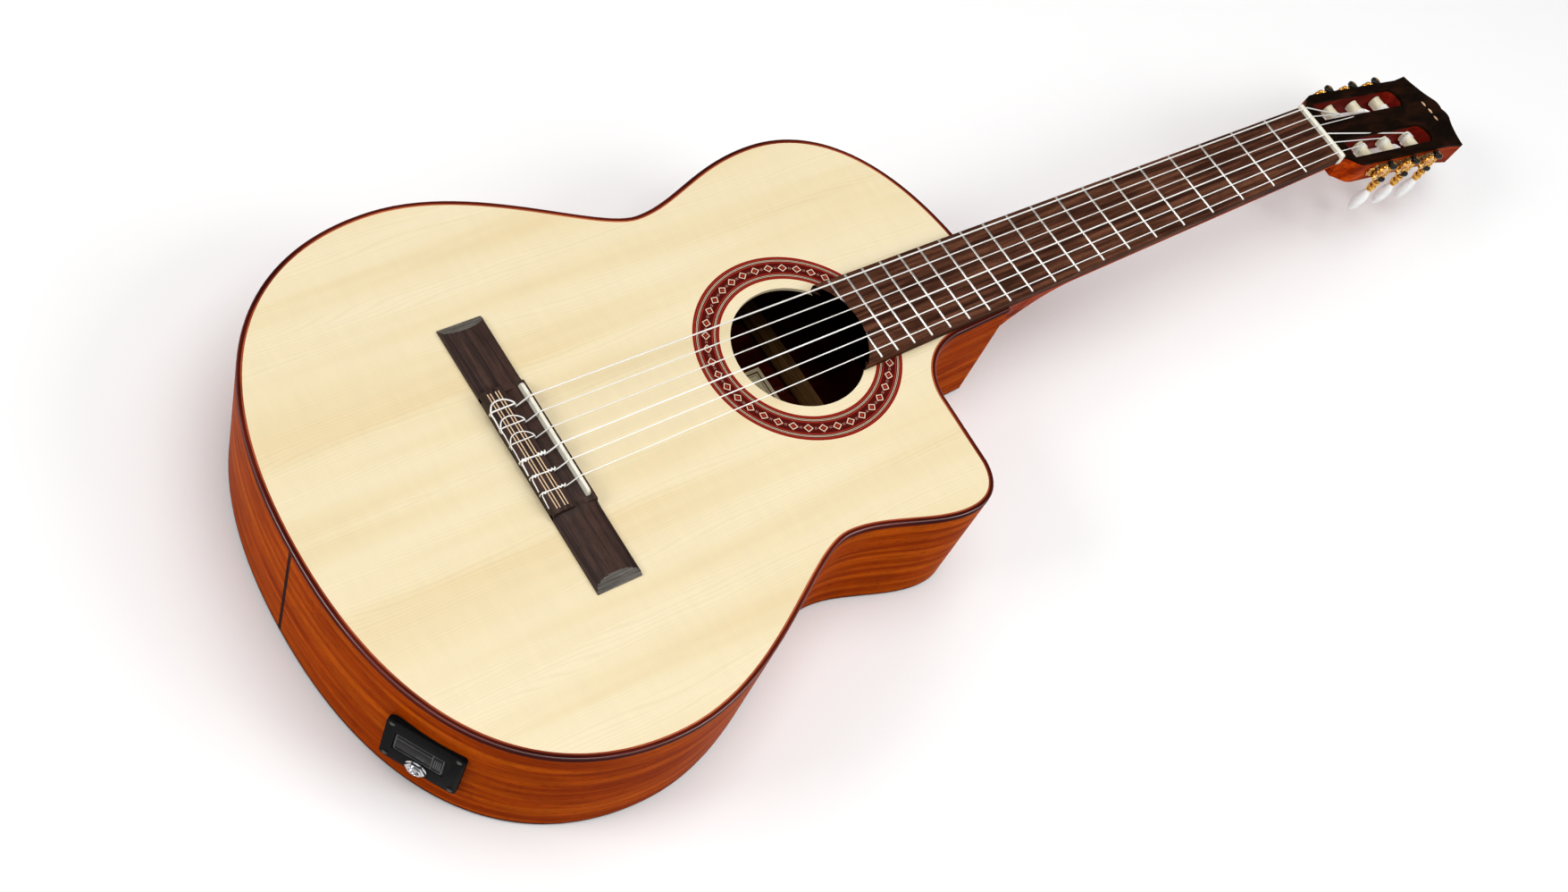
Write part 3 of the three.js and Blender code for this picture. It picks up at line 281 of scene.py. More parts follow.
def spruce():
    """Pale mirrored spruce: fine dark growth lines that wander, soft bands and a silky cross figure."""
    recipe = Recipe("spruce", roughness=0.4, coat=0.12, coat_roughness=0.14, ior=1.4)
    point = along_y(recipe, mirrored=True)
    line_pitch = 1.55
    wander = recipe.noise(point, (260, 24, 24), 2.0)
    spacing = recipe.math("MULTIPLY_ADD", wander, 14.0, recipe.math("DIVIDE", point[1], line_pitch))
    lines = recipe.math("SINE", recipe.math("MULTIPLY", spacing, 2 * math.pi))
    share = recipe.math("MULTIPLY_ADD", lines, 0.5, 0.5)
    share = recipe.math("POWER", share, 3.0)
    bands = recipe.noise(point, (420, 26, 26), 2.0, 0.3)
    silk = recipe.noise(point, (5, 26, 5), 2.0)
    fibres = recipe.noise(point, (45, 0.5, 0.5), 2.0)
    color = recipe.ramp(bands, [
        (0.3, rgb(229, 209, 165)), (0.5, rgb(234, 218, 179)), (0.72, rgb(238, 224, 190))])
    color = recipe.mix(recipe.math("MULTIPLY", share, 0.12), color, rgb(200, 158, 104))
    color = recipe.shade(color, silk, 0.965, 1.03)
    color = recipe.shade(color, fibres, 0.965, 1.035)
    return recipe.finish(color, (0.3, 0.42, fibres), share, 0.008)


def plain(name, color, other, roughness=0.35, coat=0.0, metallic=0.0, size=6.0, depth=0.01, ior=1.5):
    """A moulded or polished stuff whose tone and gloss wander between two screen colours."""
    recipe = Recipe(name, roughness=roughness, metallic=metallic, coat=coat, ior=ior)
    point = recipe.place()
    cloud = recipe.noise(point, (size, size, size), 4.0)
    fine = recipe.noise(point, (0.35, 0.35, 0.35), 2.0)
    share = recipe.add("ShaderNodeMapRange", {0: cloud, 1: 0.3, 2: 0.7}).outputs[0]
    tone = recipe.mix(share, rgb(*color), rgb(*other))
    return recipe.finish(tone, (roughness * 0.8, roughness * 1.25, cloud), fine, depth)


def mosaic():
    """The rosette: two groups of coloured lines around a band of outlined diamonds and small dots."""
    recipe = Recipe("mosaic", roughness=0.34, ior=1.12)
    x, y, z = recipe.place()
    y = recipe.math("SUBTRACT", y, HOLE_Y)
    radius = recipe.math("SQRT", recipe.math("MULTIPLY_ADD", x, x, recipe.math("MULTIPLY", y, y)))
    middle = (ROSETTE_IN + ROSETTE_OUT) / 2
    offset = recipe.math("SUBTRACT", radius, middle)
    away = recipe.math("ABSOLUTE", offset)
    turn = recipe.math("ARCTAN2", y, x)
    count = 39
    place = recipe.math("FRACT", recipe.math("MULTIPLY_ADD", turn, count / (2 * math.pi), 0.5))
    pitch = 2 * math.pi * middle / count
    step = recipe.math("MULTIPLY", recipe.math("SUBTRACT", place, 0.5), pitch)
    around = recipe.math("ABSOLUTE", step)
    diamond = recipe.math("ADD", recipe.math("MULTIPLY", around, 0.88), away)
    beside = recipe.math("ABSOLUTE", recipe.math("SUBTRACT", around, pitch / 2))
    cream, red, maroon, black = rgb(222, 190, 164), rgb(158, 44, 30), rgb(80, 15, 12), rgb(20, 8, 6)
    fibres = recipe.noise((turn, radius, z), (0.02, 0.4, 1), 3.0)
    color = maroon
    rings = [(3.7, 4.4, red), (4.4, 5.0, black), (5.0, 5.35, cream), (5.35, 5.8, black), (5.8, 6.15, cream),
             (6.15, 6.7, black), (6.7, 7.5, red), (7.5, 7.9, maroon), (7.9, 9.2, red)]
    for low, high, tone in rings:
        color = recipe.mix(recipe.between(away, low, high), color, tone)
    color = recipe.mix(recipe.between(diamond, 2.0, 2.85), color, cream)
    color = recipe.mix(recipe.between(diamond, -1.0, 1.1), color, red)
    spot = recipe.math("ADD", beside, away)
    cross = recipe.math("ABSOLUTE", recipe.math("SUBTRACT", beside, away))
    dots = recipe.math("MULTIPLY", recipe.between(cross, -1.0, 0.32), recipe.between(spot, 0.6, 1.3))
    color = recipe.mix(recipe.math("MULTIPLY", dots, 0.65), color, cream)
    color = recipe.shade(color, fibres, 0.85, 1.15)
    return recipe.finish(color, (0.3, 0.4, fibres))


def engraved_gold():
    """Gold plate with an engraved leaf pattern and a darker wash in the cuts."""
    recipe = Recipe("engraved_gold", roughness=0.24, metallic=1.0)
    point = recipe.place()
    swirl = recipe.noise(point, (3.2, 3.2, 3.2), 2.0, 2.5)
    cell = recipe.cells(point, 2.6, "DISTANCE_TO_EDGE").outputs[0]
    cut = recipe.math("MULTIPLY", recipe.between(cell, -1.0, 0.08), 0.75)
    color = recipe.ramp(swirl, [
        (0.3, rgb(156, 100, 40)), (0.46, rgb(232, 182, 98)), (0.66, rgb(255, 230, 168))])
    color = recipe.mix(cut, color, rgb(84, 42, 10))
    height = recipe.math("SUBTRACT", swirl, recipe.math("MULTIPLY", cut, 0.5))
    return recipe.finish(color, (0.16, 0.38, swirl), height, 0.35)


def pearloid():
    """White pearloid: soft silky flakes that shift between cool and warm whites."""
    recipe = Recipe("pearloid", roughness=0.22, coat=0.5)
    point = recipe.place()
    flakes = recipe.cells(point, 3.4, "SMOOTH_F1").outputs["Color"]
    parts = recipe.add("ShaderNodeSeparateColor", {0: flakes})
    silk = recipe.noise(point, (2.4, 2.4, 6.0), 3.0, 1.2)
    color = recipe.ramp(silk, [
        (0.3, rgb(236, 237, 238)), (0.5, rgb(249, 249, 249)), (0.7, rgb(255, 255, 254))])
    color = recipe.shade(color, parts.outputs[0], 0.95, 1.03)
    return recipe.finish(color, (0.15, 0.3, silk), silk, 0.02)


def wound_string():
    """Silver-plated wire wound round a core: its turns follow each other along the string."""
    recipe = Recipe("wound_string", roughness=0.3, metallic=0.25)
    wire_pitch = 0.32
    turns = recipe.math("SINE", recipe.math("MULTIPLY", recipe.place()[1], 2 * math.pi / wire_pitch))
    # Each turn is lighter along its crest and darker where it meets the next: painted shade between the
    # turns, with a bump of the same rhythm.
    tone = recipe.math("MULTIPLY_ADD", turns, 0.5, 0.5)
    color = recipe.ramp(tone, [(0.0, rgb(232, 228, 220)), (1.0, rgb(255, 253, 250))])
    return recipe.finish(color, (0.24, 0.38, tone), tone, 0.02)


def printed_label():
    """A cream paper label with a double border and blank ruled lines."""
    recipe = Recipe("label_paper", roughness=0.75)
    x, y, z = recipe.place()
    low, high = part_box("label")
    centre, half = (low + high) / 2 / MM, (high - low) / 2 / MM
    dx = recipe.math("ABSOLUTE", recipe.math("SUBTRACT", x, centre.x))
    dy = recipe.math("ABSOLUTE", recipe.math("SUBTRACT", y, centre.y))
    edge = recipe.math(
        "MINIMUM", recipe.math("SUBTRACT", half.x, dx), recipe.math("SUBTRACT", half.y, dy))
    fibres = recipe.noise((x, y, z), (1.5, 1.5, 1.5), 4.0)
    color = recipe.ramp(fibres, [(0.3, rgb(214, 196, 150)), (0.7, rgb(232, 218, 180))])
    ink = rgb(92, 52, 30)
    for low_edge, high_edge in [(2.5, 3.6), (4.6, 5.0)]:
        color = recipe.mix(recipe.between(edge, low_edge, high_edge), color, ink)
    line_pitch = 9.0
    row = recipe.math("MODULO", recipe.math("ADD", dy, line_pitch / 2), line_pitch)
    rule = recipe.math("ABSOLUTE", recipe.math("SUBTRACT", row, line_pitch / 2))
    ruled = recipe.math("MULTIPLY", recipe.between(rule, -1.0, 0.2), recipe.between(dx, -1.0, half.x - 12))
    color = recipe.mix(recipe.math("MULTIPLY", ruled, 0.6), color, ink)
    return recipe.finish(color, (0.7, 0.85, fibres), fibres, 0.03)


M = {
    "spruce": spruce(),
    "mosaic": mosaic(),
    "ribs": wood("ribs_mahogany", (140, 48, 1), (161, 62, 2), (180, 80, 7), grain="carried", figure=0.1,
        pores=0.6, roughness=0.34, ior=1.03),
    "back": wood("back_mahogany", (132, 48, 4), (155, 64, 7), (174, 80, 12), grain="matched", coat=0.08,
        figure=0.12, pores=0.6, ior=1.1),
    "neck": wood("neck_mahogany", (124, 36, 5), (160, 52, 7), (188, 72, 12), figure=0.16, pores=0.4,
        ior=1.05),
    "board": wood("board_rosewood", (52, 29, 20), (76, 45, 32), (102, 64, 46), figure=0.16, pores=0.6,
        roughness=0.5, scale=0.5, ior=1.08),
    "bridge": wood("bridge_rosewood", (42, 29, 25), (54, 38, 33), (68, 47, 40), grain="x", figure=0.14,
        roughness=0.45, scale=0.4, ior=1.25),
    # The bridge_end_painted_light tone is a painted highlight: the wings' sloping end faces get a lighter
    # grey than the rosewood, for the light that falls on them.
    "bridge_end_painted_light": wood("bridge_end_painted_light", (72, 68, 63), (92, 87, 81), (112, 106, 99), figure=0.15,
        roughness=0.4, scale=0.2),
    "veneer": wood("veneer_ebony", (14, 6, 2), (25, 11, 4), (36, 17, 7), figure=0.14, pores=0.4,
        roughness=0.3, ior=1.04),
    # The inner tan is darker than the bare braces, linings and tail block: painted shade for the inside of
    # the body.
    "inner": wood("inner_wood", (92, 62, 34), (120, 84, 48), (144, 104, 64), figure=0.2, pores=0.4,
        roughness=0.7, ior=1.1),
    # The bars' tan is darkened as painted shade inside the body, and below 6 mm they turn to the dark
    # inside tone, also painted shade.
    "bars": wood("back_bar_wood_painted_shade", (104, 72, 40), (134, 96, 56), (156, 114, 72), grain="x", figure=0.15,
        pores=0.4, roughness=0.7, ior=1.1, floor=(6.0, (62, 15, 6))),
    # The inside tone is painted shade: a dark red that stands in for the shade inside the body, on the
    # back's inner face and the neck block.
    "inside": wood("inside_mahogany_painted_shade", (46, 9, 4), (62, 15, 6), (78, 22, 9), figure=0.2, pores=0.4,
        roughness=0.75, ior=1.1),
    "trim": wood("trim_dark", (52, 13, 9), (74, 20, 13), (94, 30, 19), grain="carried", figure=0.15,
        pores=0.1, roughness=0.3, ior=1.05),
    # The binding's rounded edge strip has a full gloss coat and a tone a little lighter than the trim; the
    # lighter tone is a painted highlight.
    "trim_edge_gloss_and_painted_highlight": wood("trim_edge_gloss_and_painted_highlight", (70, 22, 14), (90, 30, 20), (104, 38, 26), grain="carried", coat=1.0,
        figure=0.1, pores=0.1, roughness=0.3, ior=1.5),
    "dark": wood("line_dark", (26, 9, 5), (40, 14, 8), (56, 20, 12), figure=0.15, pores=0.1,
        roughness=0.4, ior=1.05),
    "purfling": wood("purfling_red", (122, 48, 26), (156, 72, 42), (182, 96, 58), grain="carried",
        figure=0.1, pores=0.1, roughness=0.34, ior=1.1),
    # The slot walls are a darker red than the head's mahogany: painted shade inside the slots.
    "slot": wood("slot_wall_painted_shade", (84, 14, 8), (104, 20, 11), (122, 28, 15), figure=0.15, pores=0.2,
        roughness=0.5, ior=1.06),
    "bone": plain("bone", (244, 241, 228), (228, 222, 200), coat=0.2, size=5.0),
    "cream": plain("cream_roller", (232, 224, 196), (214, 204, 170), roughness=0.3, coat=0.3, size=4.0),
    "nylon": plain("nylon", (255, 254, 250), (248, 246, 240), roughness=0.2, coat=0.5, size=3.0,
        ior=1.53),
    "wound": wound_string(),
    "nickel": plain("nickel_silver", (238, 235, 228), (214, 209, 202), roughness=0.34, metallic=1.0,
        size=3.0),
    "gold": plain("gold_bright", (236, 186, 96), (196, 136, 52), roughness=0.2, metallic=1.0, size=2.5),
    "engraved": engraved_gold(),
    "pearl": pearloid(),
    "black": plain("black_plastic", (10, 10, 11), (18, 18, 19), roughness=0.3, coat=0.08, size=3.0,
        ior=1.1),
    "satin": plain("black_satin", (10, 10, 11), (18, 18, 19), roughness=0.45, size=2.0, depth=0.03,
        ior=1.08),
    # The door ridges are a lighter grey than the black plastic around them: a painted highlight along the
    # raised lines.
    "ridge": plain("ridge_painted_highlight", (70, 73, 73), (92, 96, 96), roughness=0.4, size=9.0, ior=1.3),
    "screw": plain("screw_blackened", (96, 94, 88), (60, 58, 54), roughness=0.28, metallic=0.9,
        size=1.5),
    "enamel": plain("black_enamel", (10, 10, 10), (20, 19, 17), roughness=0.18, coat=0.4, size=2.0,
        ior=1.2),
    "chrome": plain("chrome", (226, 227, 230), (196, 197, 200), roughness=0.12, metallic=1.0, size=4.0),
    "steel": plain("steel", (150, 150, 150), (112, 112, 114), roughness=0.4, metallic=1.0, size=3.0),
    "inlay": wood("inlay_pale", (196, 138, 92), (222, 172, 124), (240, 204, 164), grain="x", coat=0.4,
        figure=0.2, pores=0.2),
    "line": plain("line_cream", (232, 204, 168), (214, 178, 138), roughness=0.4, size=2.0),
    "white": plain("mark_white", (226, 226, 222), (206, 206, 200), roughness=0.5, size=1.0),
    "lamp": plain("lamp_green", (30, 92, 48), (20, 70, 36), roughness=0.2, coat=0.5, size=1.0),
    "cell": plain("battery_case", (70, 74, 82), (52, 55, 62), coat=0.2, metallic=0.4, size=5.0),
    "paper": printed_label(),
}

# ---- mesh helpers ----

SMOOTH_ANGLE = math.radians(35)
WIDE_SMOOTH_ANGLE = math.radians(50)
ARRIS_ANGLE = math.radians(14)
SIDES = ((1, "treble"), (-1, "bass"))


def to_mesh(name, bm, outward=True):
    """Turns a bmesh in millimetres into a mesh in metres, with its faces outward, and frees it."""
    if outward:
        bm.normal_update()
        bmesh.ops.recalc_face_normals(bm, faces=bm.faces)
    bm.transform(Matrix.Scale(MM, 4))
    mesh = bpy.data.meshes.new(name)
    bm.to_mesh(mesh)
    bm.free()
    return mesh


def make(name, bm, material, slot, body=ROOT, smooth=SMOOTH_ANGLE, at=None):
    """Turns a bmesh in millimetres into a piece in metres that rides on a body."""
    if at is not None:
        bm.transform(at)
    mesh = to_mesh(name, bm)
    mesh.materials.append(M[material])
    mesh.shade_smooth()
    mesh.set_sharp_from_angle(angle=smooth)
    piece = bpy.data.objects.new(name, mesh)
    bpy.context.scene.collection.objects.link(piece)
    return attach(piece, body)


def loops_to_bm(loops, closed=False):
    """A skin through loops of points that all have the same count, joined end to end or capped."""
    bm = bmesh.new()
    rows = [[bm.verts.new(p) for p in loop] for loop in loops]
    pairs = list(zip(rows, rows[1:])) + ([(rows[-1], rows[0])] if closed else [])
    count = len(rows[0])
    for first, second in pairs:
        for i in range(count):
            j = (i + 1) % count
            bm.faces.new((first[i], first[j], second[j], second[i]))
    if not closed:
        bm.faces.new(list(reversed(rows[0])))
        bm.faces.new(rows[-1])
    return bm


def turns(count):
    """The angles of one full turn in equal steps."""
    return [2 * math.pi * i / count for i in range(count)]


def round_loop(radii, height):
    """A loop about Z from one radius for each step of the turn."""
    return [(r * math.cos(t), r * math.sin(t), height) for r, t in zip(radii, turns(len(radii)))]


def arc(x, y, radius, start, end, steps, flat=1.0):
    """Points on an arc between two angles in degrees, both ends included. flat scales its height."""
    points = []
    for i in range(steps + 1):
        t = math.radians(start + (end - start) * i / steps)
        points.append((x + radius * math.cos(t), y + flat * radius * math.sin(t)))
    return points


def lathe(profile, sides, closed=False):
    """A form turned about Z from (radius, height) points."""
    return loops_to_bm([round_loop([radius] * sides, height) for radius, height in profile], closed)


def bar(section, ends, above, about=0.0, pinch=0.0):
    """A (y, z) section pulled across the part, whose crest drops towards both of its ends.

    ends holds (x, drop) from the end inward. Only points above a height drop, and the section
    draws in about a middle line with the drop.
    """
    loops = []
    for x, drop in [(-x, drop) for x, drop in ends] + ends[::-1]:
        loops.append([(x, about + (y - about) * (1 - pinch * drop), z - (drop if z > above else 0))
                      for y, z in section])
    return loops_to_bm(loops)


def block(low, high, radius, segments=1):
    """A box with rounded edges."""
    bm = bmesh.new()
    size = Vector(high) - Vector(low)
    middle = (Vector(high) + Vector(low)) / 2
    stretch = Matrix.Diagonal((*size, 1.0))
    bmesh.ops.create_cube(bm, size=1.0, matrix=Matrix.Translation(middle) @ stretch)
    bmesh.ops.bevel(bm, geom=bm.edges[:], offset=radius, segments=segments, profile=0.5, affect="EDGES")
    return bm


def prism(outline, low, high, bevel=0.0):
    """A plan outline pulled up from low to high, with rounded rims if bevel is given."""
    bm = loops_to_bm([[(x, y, low) for x, y in outline], [(x, y, high) for x, y in outline]])
    if bevel:
        rims = [e for e in bm.edges if abs(e.verts[0].co.z - e.verts[1].co.z) < 1e-6]
        bmesh.ops.bevel(bm, geom=rims, offset=bevel, segments=3, profile=0.5, affect="EDGES")
    return bm


def rounded(half_x, half_y, corner):
    """The outline of a rectangle about the origin with rounded corners."""
    points = []
    for side_x, side_y, start in [(1, -1, -90), (1, 1, 0), (-1, 1, 90), (-1, -1, 180)]:
        points += arc(side_x * (half_x - corner), side_y * (half_y - corner), corner, start, start + 90, 6)
    return points


def hole_circle(radius, count):
    """A circle about the centre of the sound hole."""
    return [(radius * math.cos(t), HOLE_Y + radius * math.sin(t)) for t in turns(count)]


def tube(points, radius, sides=10, taper=None):
    """A round rod along a smooth route. taper gives the share of the radius at each point."""
    points = [Vector(p) for p in points]
    loops = []
    side = None
    for i, point in enumerate(points):
        ahead = points[min(i + 1, len(points) - 1)] - points[max(i - 1, 0)]
        ahead.normalize()
        if side is None:
            side = ahead.orthogonal().normalized()
        side = (side - ahead * side.dot(ahead)).normalized()
        other = ahead.cross(side)
        r = radius * (taper[i] if taper else 1.0)
        loops.append([point + side * (r * math.cos(t)) + other * (r * math.sin(t))
                      for t in turns(sides)])
    return loops_to_bm(loops)


def smooth_route(points, steps=8):
    """A smooth line through the given points, by Catmull-Rom spans."""
    points = [Vector(p) for p in points]
    route = []
    for i in range(len(points) - 1):
        before = points[max(i - 1, 0)]
        start, end = points[i], points[i + 1]
        after = points[min(i + 2, len(points) - 1)]
        for k in range(steps):
            t = k / steps
            square = 2 * before - 5 * start + 4 * end - after
            cube = 3 * start - before - 3 * end + after
            route.append(0.5 * (2 * start + (end - before) * t + square * t ** 2 + cube * t ** 3))
    route.append(points[-1])
    return route


def merged(*parts):
    """Several bmeshes as one."""
    whole = bmesh.new()
    for part in parts:
        mesh = bpy.data.meshes.new("part")
        part.to_mesh(mesh)
        part.free()
        whole.from_mesh(mesh)
        bpy.data.meshes.remove(mesh)
    return whole


def moved(bm, matrix):
    bm.transform(matrix)
    return bm


def shifted(bm, x, y, z):
    return moved(bm, Matrix.Translation((x, y, z)))


def carve(piece, *cutters, wall=None):
    """Cuts bmesh shapes, in millimetres, out of a piece. wall is the material of the cut."""
    for cutter in cutters:
        mesh = to_mesh("cutter", cutter)
        tool = bpy.data.objects.new("cutter", mesh)
        bpy.context.scene.collection.objects.link(tool)
        modifier = piece.modifiers.new("cut", "BOOLEAN")
        modifier.operation, modifier.solver, modifier.object = "DIFFERENCE", "EXACT", tool
        if wall is not None:
            mesh.materials.append(M[wall])
            modifier.material_mode = "TRANSFER"
        depsgraph = bpy.context.evaluated_depsgraph_get()
        result = bpy.data.meshes.new_from_object(piece.evaluated_get(depsgraph))
        piece.modifiers.clear()
        old = piece.data
        piece.data = result
        bpy.data.meshes.remove(old)
        bpy.data.objects.remove(tool)
        bpy.data.meshes.remove(mesh)
    piece.data.set_sharp_from_angle(angle=SMOOTH_ANGLE)
    return piece


# ---- body outline, the same curves as the frame's with more points ----

CURVE_STEPS = 26
LOWER_BOUT, WAIST, UPPER_BOUT = (186, -22), (124.25, 131), (146.5, 232.5)
CUTAWAY_TIP, CUTAWAY_EDGE, CUTAWAY_END = (143.5, 212), (118, 241.5), (33, 285)


def curve(start, first, second, end, steps=CURVE_STEPS):
    """Points on a cubic curve, without its end."""
    points = []
    for i in range(steps):
        t = i / steps
        s = 1 - t
        points.append(tuple(
            s ** 3 * a + 3 * s * s * t * b + 3 * s * t * t * c + t ** 3 * d
            for a, b, c, d in zip(start, first, second, end)))
    return points


def lower_half():
    tail = curve((0, TAIL_Y), (135, TAIL_Y), (186, -97), LOWER_BOUT, 40)
    return tail + curve(LOWER_BOUT, (186, 46), (124.25, 102.5), WAIST)


def body_outline():
    """The outline from the tail up the treble side, and back down the bass side."""
    cutaway = curve(WAIST, (124.25, 158), (143.5, 185), CUTAWAY_TIP)
    cutaway += curve(CUTAWAY_TIP, (143.5, 230), (134, 239.5), CUTAWAY_EDGE, 14)
    cutaway += [CUTAWAY_EDGE]
    cutaway += curve((72, 243.5), (52, 243.5), (33, 258), CUTAWAY_END, 22)
    cutaway += [CUTAWAY_END, (31.5, SHOULDER_Y)]
    full = curve(WAIST, (124.25, 160.5), (146.5, 187.5), UPPER_BOUT)
    full += curve(UPPER_BOUT, (146.5, 292.5), (90, SHOULDER_Y), (0, SHOULDER_Y), 34)
    bass = [(-x, y) for x, y in lower_half() + full]
    return lower_half() + cutaway + [(0, SHOULDER_Y)] + bass[:0:-1]


OUTLINE = body_outline()


def inset(distance):
    """The outline moved inward by a distance, with mitred corners."""
    count = len(OUTLINE)
    points = []
    for i, (x, y) in enumerate(OUTLINE):
        point = Vector((x, y))
        before = (point - Vector(OUTLINE[i - 1])).normalized()
        after = (Vector(OUTLINE[(i + 1) % count]) - point).normalized()
        across = Vector((-before.y - after.y, before.x + after.x))
        points.append(tuple(point + across * (distance / (1 + before.dot(after)))))
    return points


def outline_lengths():
    """How far along the outline each of its points lies, and the whole length."""
    total, lengths = 0.0, []
    for i, point in enumerate(OUTLINE):
        lengths.append(total)
        total += math.dist(point, OUTLINE[(i + 1) % len(OUTLINE)])
    return lengths, total


def carry_grain(piece):
    """Stores how far each vertex lies along the outline from the tail, above the floor and inward."""
    lengths, total = outline_lengths()
    tree = KDTree(len(OUTLINE))
    for i, (x, y) in enumerate(OUTLINE):
        tree.insert((x, y, 0), i)
    tree.balance()
    values = []
    for vertex in piece.data.vertices:
        x, y, z = (c / MM for c in vertex.co)
        nearest = tree.find((x, y, 0))[1]
        choices = []
        for start in (nearest - 1, nearest):
            first, second = Vector(OUTLINE[start]), Vector(OUTLINE[(start + 1) % len(OUTLINE)])
            share = intersect_point_line(Vector((x, y)), first, second)[1]
            share = min(1.0, max(0.0, share))
            away = (Vector((x, y)) - first.lerp(second, share)).length
            choices.append((away, lengths[start] + share * (second - first).length))
        away, along = min(choices)
        values += [min(along, total - along), z, away]
    attributes = piece.data.attributes
    attribute = attributes.get("grain") or attributes.new("grain", "FLOAT_VECTOR", "POINT")
    attribute.data.foreach_set("vector", values)


def swept_ring(name, profile, material, slot, smooth=SMOOTH_ANGLE):
    """A ring that follows the outline, with a section given as (inset, height) points."""
    loops = [[(x, y, z) for x, y in inset(d)] for d, z in profile]
    piece = make(name, loops_to_bm(loops, closed=True), material, slot, smooth=smooth)
    carry_grain(piece)
    return piece


def plate(name, outer, inner, low, high, material, slot):
    """A flat plate with a hole: two rims, joined by filled faces above and below."""
    bm = bmesh.new()
    for z in (low, high):
        edges = []
        for loop in (outer, inner):
            verts = [bm.verts.new((x, y, z)) for x, y in loop]
            edges += [bm.edges.new(pair) for pair in zip(verts, verts[1:] + verts[:1])]
        bmesh.ops.triangle_fill(bm, edges=edges, use_beauty=True)
    bm.verts.ensure_lookup_table()
    start = 0
    half = len(bm.verts) // 2
    for loop in (outer, inner):
        count = len(loop)
        for i in range(count):
            j = (i + 1) % count
            bm.faces.new((bm.verts[start + i], bm.verts[start + j], bm.verts[half + start + j],
                          bm.verts[half + start + i]))
        start += count
    return make(name, bm, material, slot)


def paint(piece, material, chosen):
    """Gives a second material to the chosen faces of a piece."""
    piece.data.materials.append(M[material])
    for face in piece.data.polygons:
        if chosen(face):
            face.material_index = 1


# ---- body ----


def build_body():
    hole = hole_circle(HOLE_RADIUS, 120)
    inner_rim = hole_circle(ROSETTE_IN, 160)
    outer_rim = hole_circle(ROSETTE_OUT, 160)
    top = plate(
        "soundboard_top", inset(PURFLING_IN), outer_rim, TOP_UNDERSIDE, TOP_Z, "spruce", "spruce")
    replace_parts(top, "soundboard")
    plate("soundboard_ring", inner_rim, hole, TOP_UNDERSIDE, TOP_Z, "spruce", "spruce")
    rosette = plate("rosette_mosaic", outer_rim, inner_rim, TOP_UNDERSIDE, TOP_Z, "mosaic", "mosaic")
    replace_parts(rosette, "rosette")

    binding = [(0.0, BINDING_FOOT), (0.0, 97.1), (0.1, 97.55), (0.35, 97.85), (0.75, TOP_Z),
               (BINDING_IN, TOP_Z), (BINDING_IN, BINDING_FOOT)]
    edge = swept_ring("binding_top", binding, "trim", "dark_trim", WIDE_SMOOTH_ANGLE)
    # The strip at the binding's rounded top corner takes the glossier, lighter edge material, partly a
    # painted highlight.
    paint(edge, "trim_edge_gloss_and_painted_highlight", lambda face: 2 <= face.index // len(OUTLINE) <= 3)
    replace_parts(edge, "top_binding")
    purfling = [(BINDING_IN, TOP_Z - 0.02), (PURFLING_IN, TOP_Z), (PURFLING_IN, 96), (BINDING_IN, 96)]
    swept_ring("purfling_top", purfling, "purfling", "dark_trim")
    lower = [(0.0, 3.0), (0.0, 1.6), (0.35, 0.7), (1.0, 0.15), (BACK_IN, 0.0), (BACK_IN, 3.0)]
    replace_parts(swept_ring("binding_back", lower, "trim", "dark_trim", WIDE_SMOOTH_ANGLE), "back_binding")

    back = make("back_board", prism(inset(BACK_IN), 0, PLATE_THICKNESS), "back", "mahogany")
    # The back's inner face takes the dark inside tone, painted shade.
    paint(back, "inside", lambda face: face.normal.z > 0.5)
    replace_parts(back, "back_plate")
    strip = prism([(-2.2, -158), (2.2, -158), (2.2, 322), (-2.2, 322)], 0.0, 0.3)
    make("back_strip", strip, "dark", "dark_trim")

    heights = (3, 20, 45, 71, BINDING_FOOT)
    wall = [(0.03, z) for z in heights] + [(2.5, z) for z in reversed(heights)]
    ribs = swept_ring("rib_walls", wall, "ribs", "mahogany")
    opening = block((-18.5, -22, -10), (15, 12.2, 6), 1.0)
    pocket = block((-28, -16, -10), (28, 16, 6), 1.0)
    carve(ribs, moved(opening, OUTPUT), moved(pocket, PREAMP))
    carry_grain(ribs)
    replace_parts(ribs, "treble_rib", "bass_rib")
    graft = block((-1.5, TAIL_Y, 3), (1.5, TAIL_Y + 2.4, BINDING_FOOT), 0.02)
    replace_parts(make("tail_line", graft, "dark", "dark_trim"), "tail_graft")


def build_inside():
    """Gives the plain pieces of the frame that stay as they are a material each."""
    # inner and bars are darkened tans and inside is a dark red: painted shade for the wood inside the body.
    chosen = {"inner": ("tail_block", "top_lining", "back_lining", "soundboard_braces"),
              "bars": ("back_braces",), "inside": ("neck_block",), "paper": ("label",),
              "steel": ("truss_rod", "truss_nut", "pickup_strip"),
              "satin": ("battery_box", "preamp_box"), "cell": ("battery",)}
    for material, nodes in chosen.items():
        for node in nodes:
            mesh = frame["nodes"][node].data
            mesh.materials.clear()
            mesh.materials.append(M[material])


# ---- neck ----

HEEL_FOOT, HEEL_LENGTH, HEEL_BOTTOM, HEEL_TAPER = 347.0, 42.0, 2.75, 0.6
NECK_DEPTH_NUT, NECK_DEPTH_JOINT = 15.0, 17.0
NUT_NEAR, NUT_FAR = 650.05, 655.0
CAP_HALF, CAP_STRAIGHT, CAP_ROUND = 10.5, 339.0, 7.8
BOARD_END_X, FRET_INSET, FRET_HALF, FRET_RISE = 31.8, 0.45, 0.9, 0.98


def half_width(y):
    return NUT_HALF + (SCALE_LENGTH - y) * (JOINT_HALF - NUT_HALF) / (SCALE_LENGTH / 2)


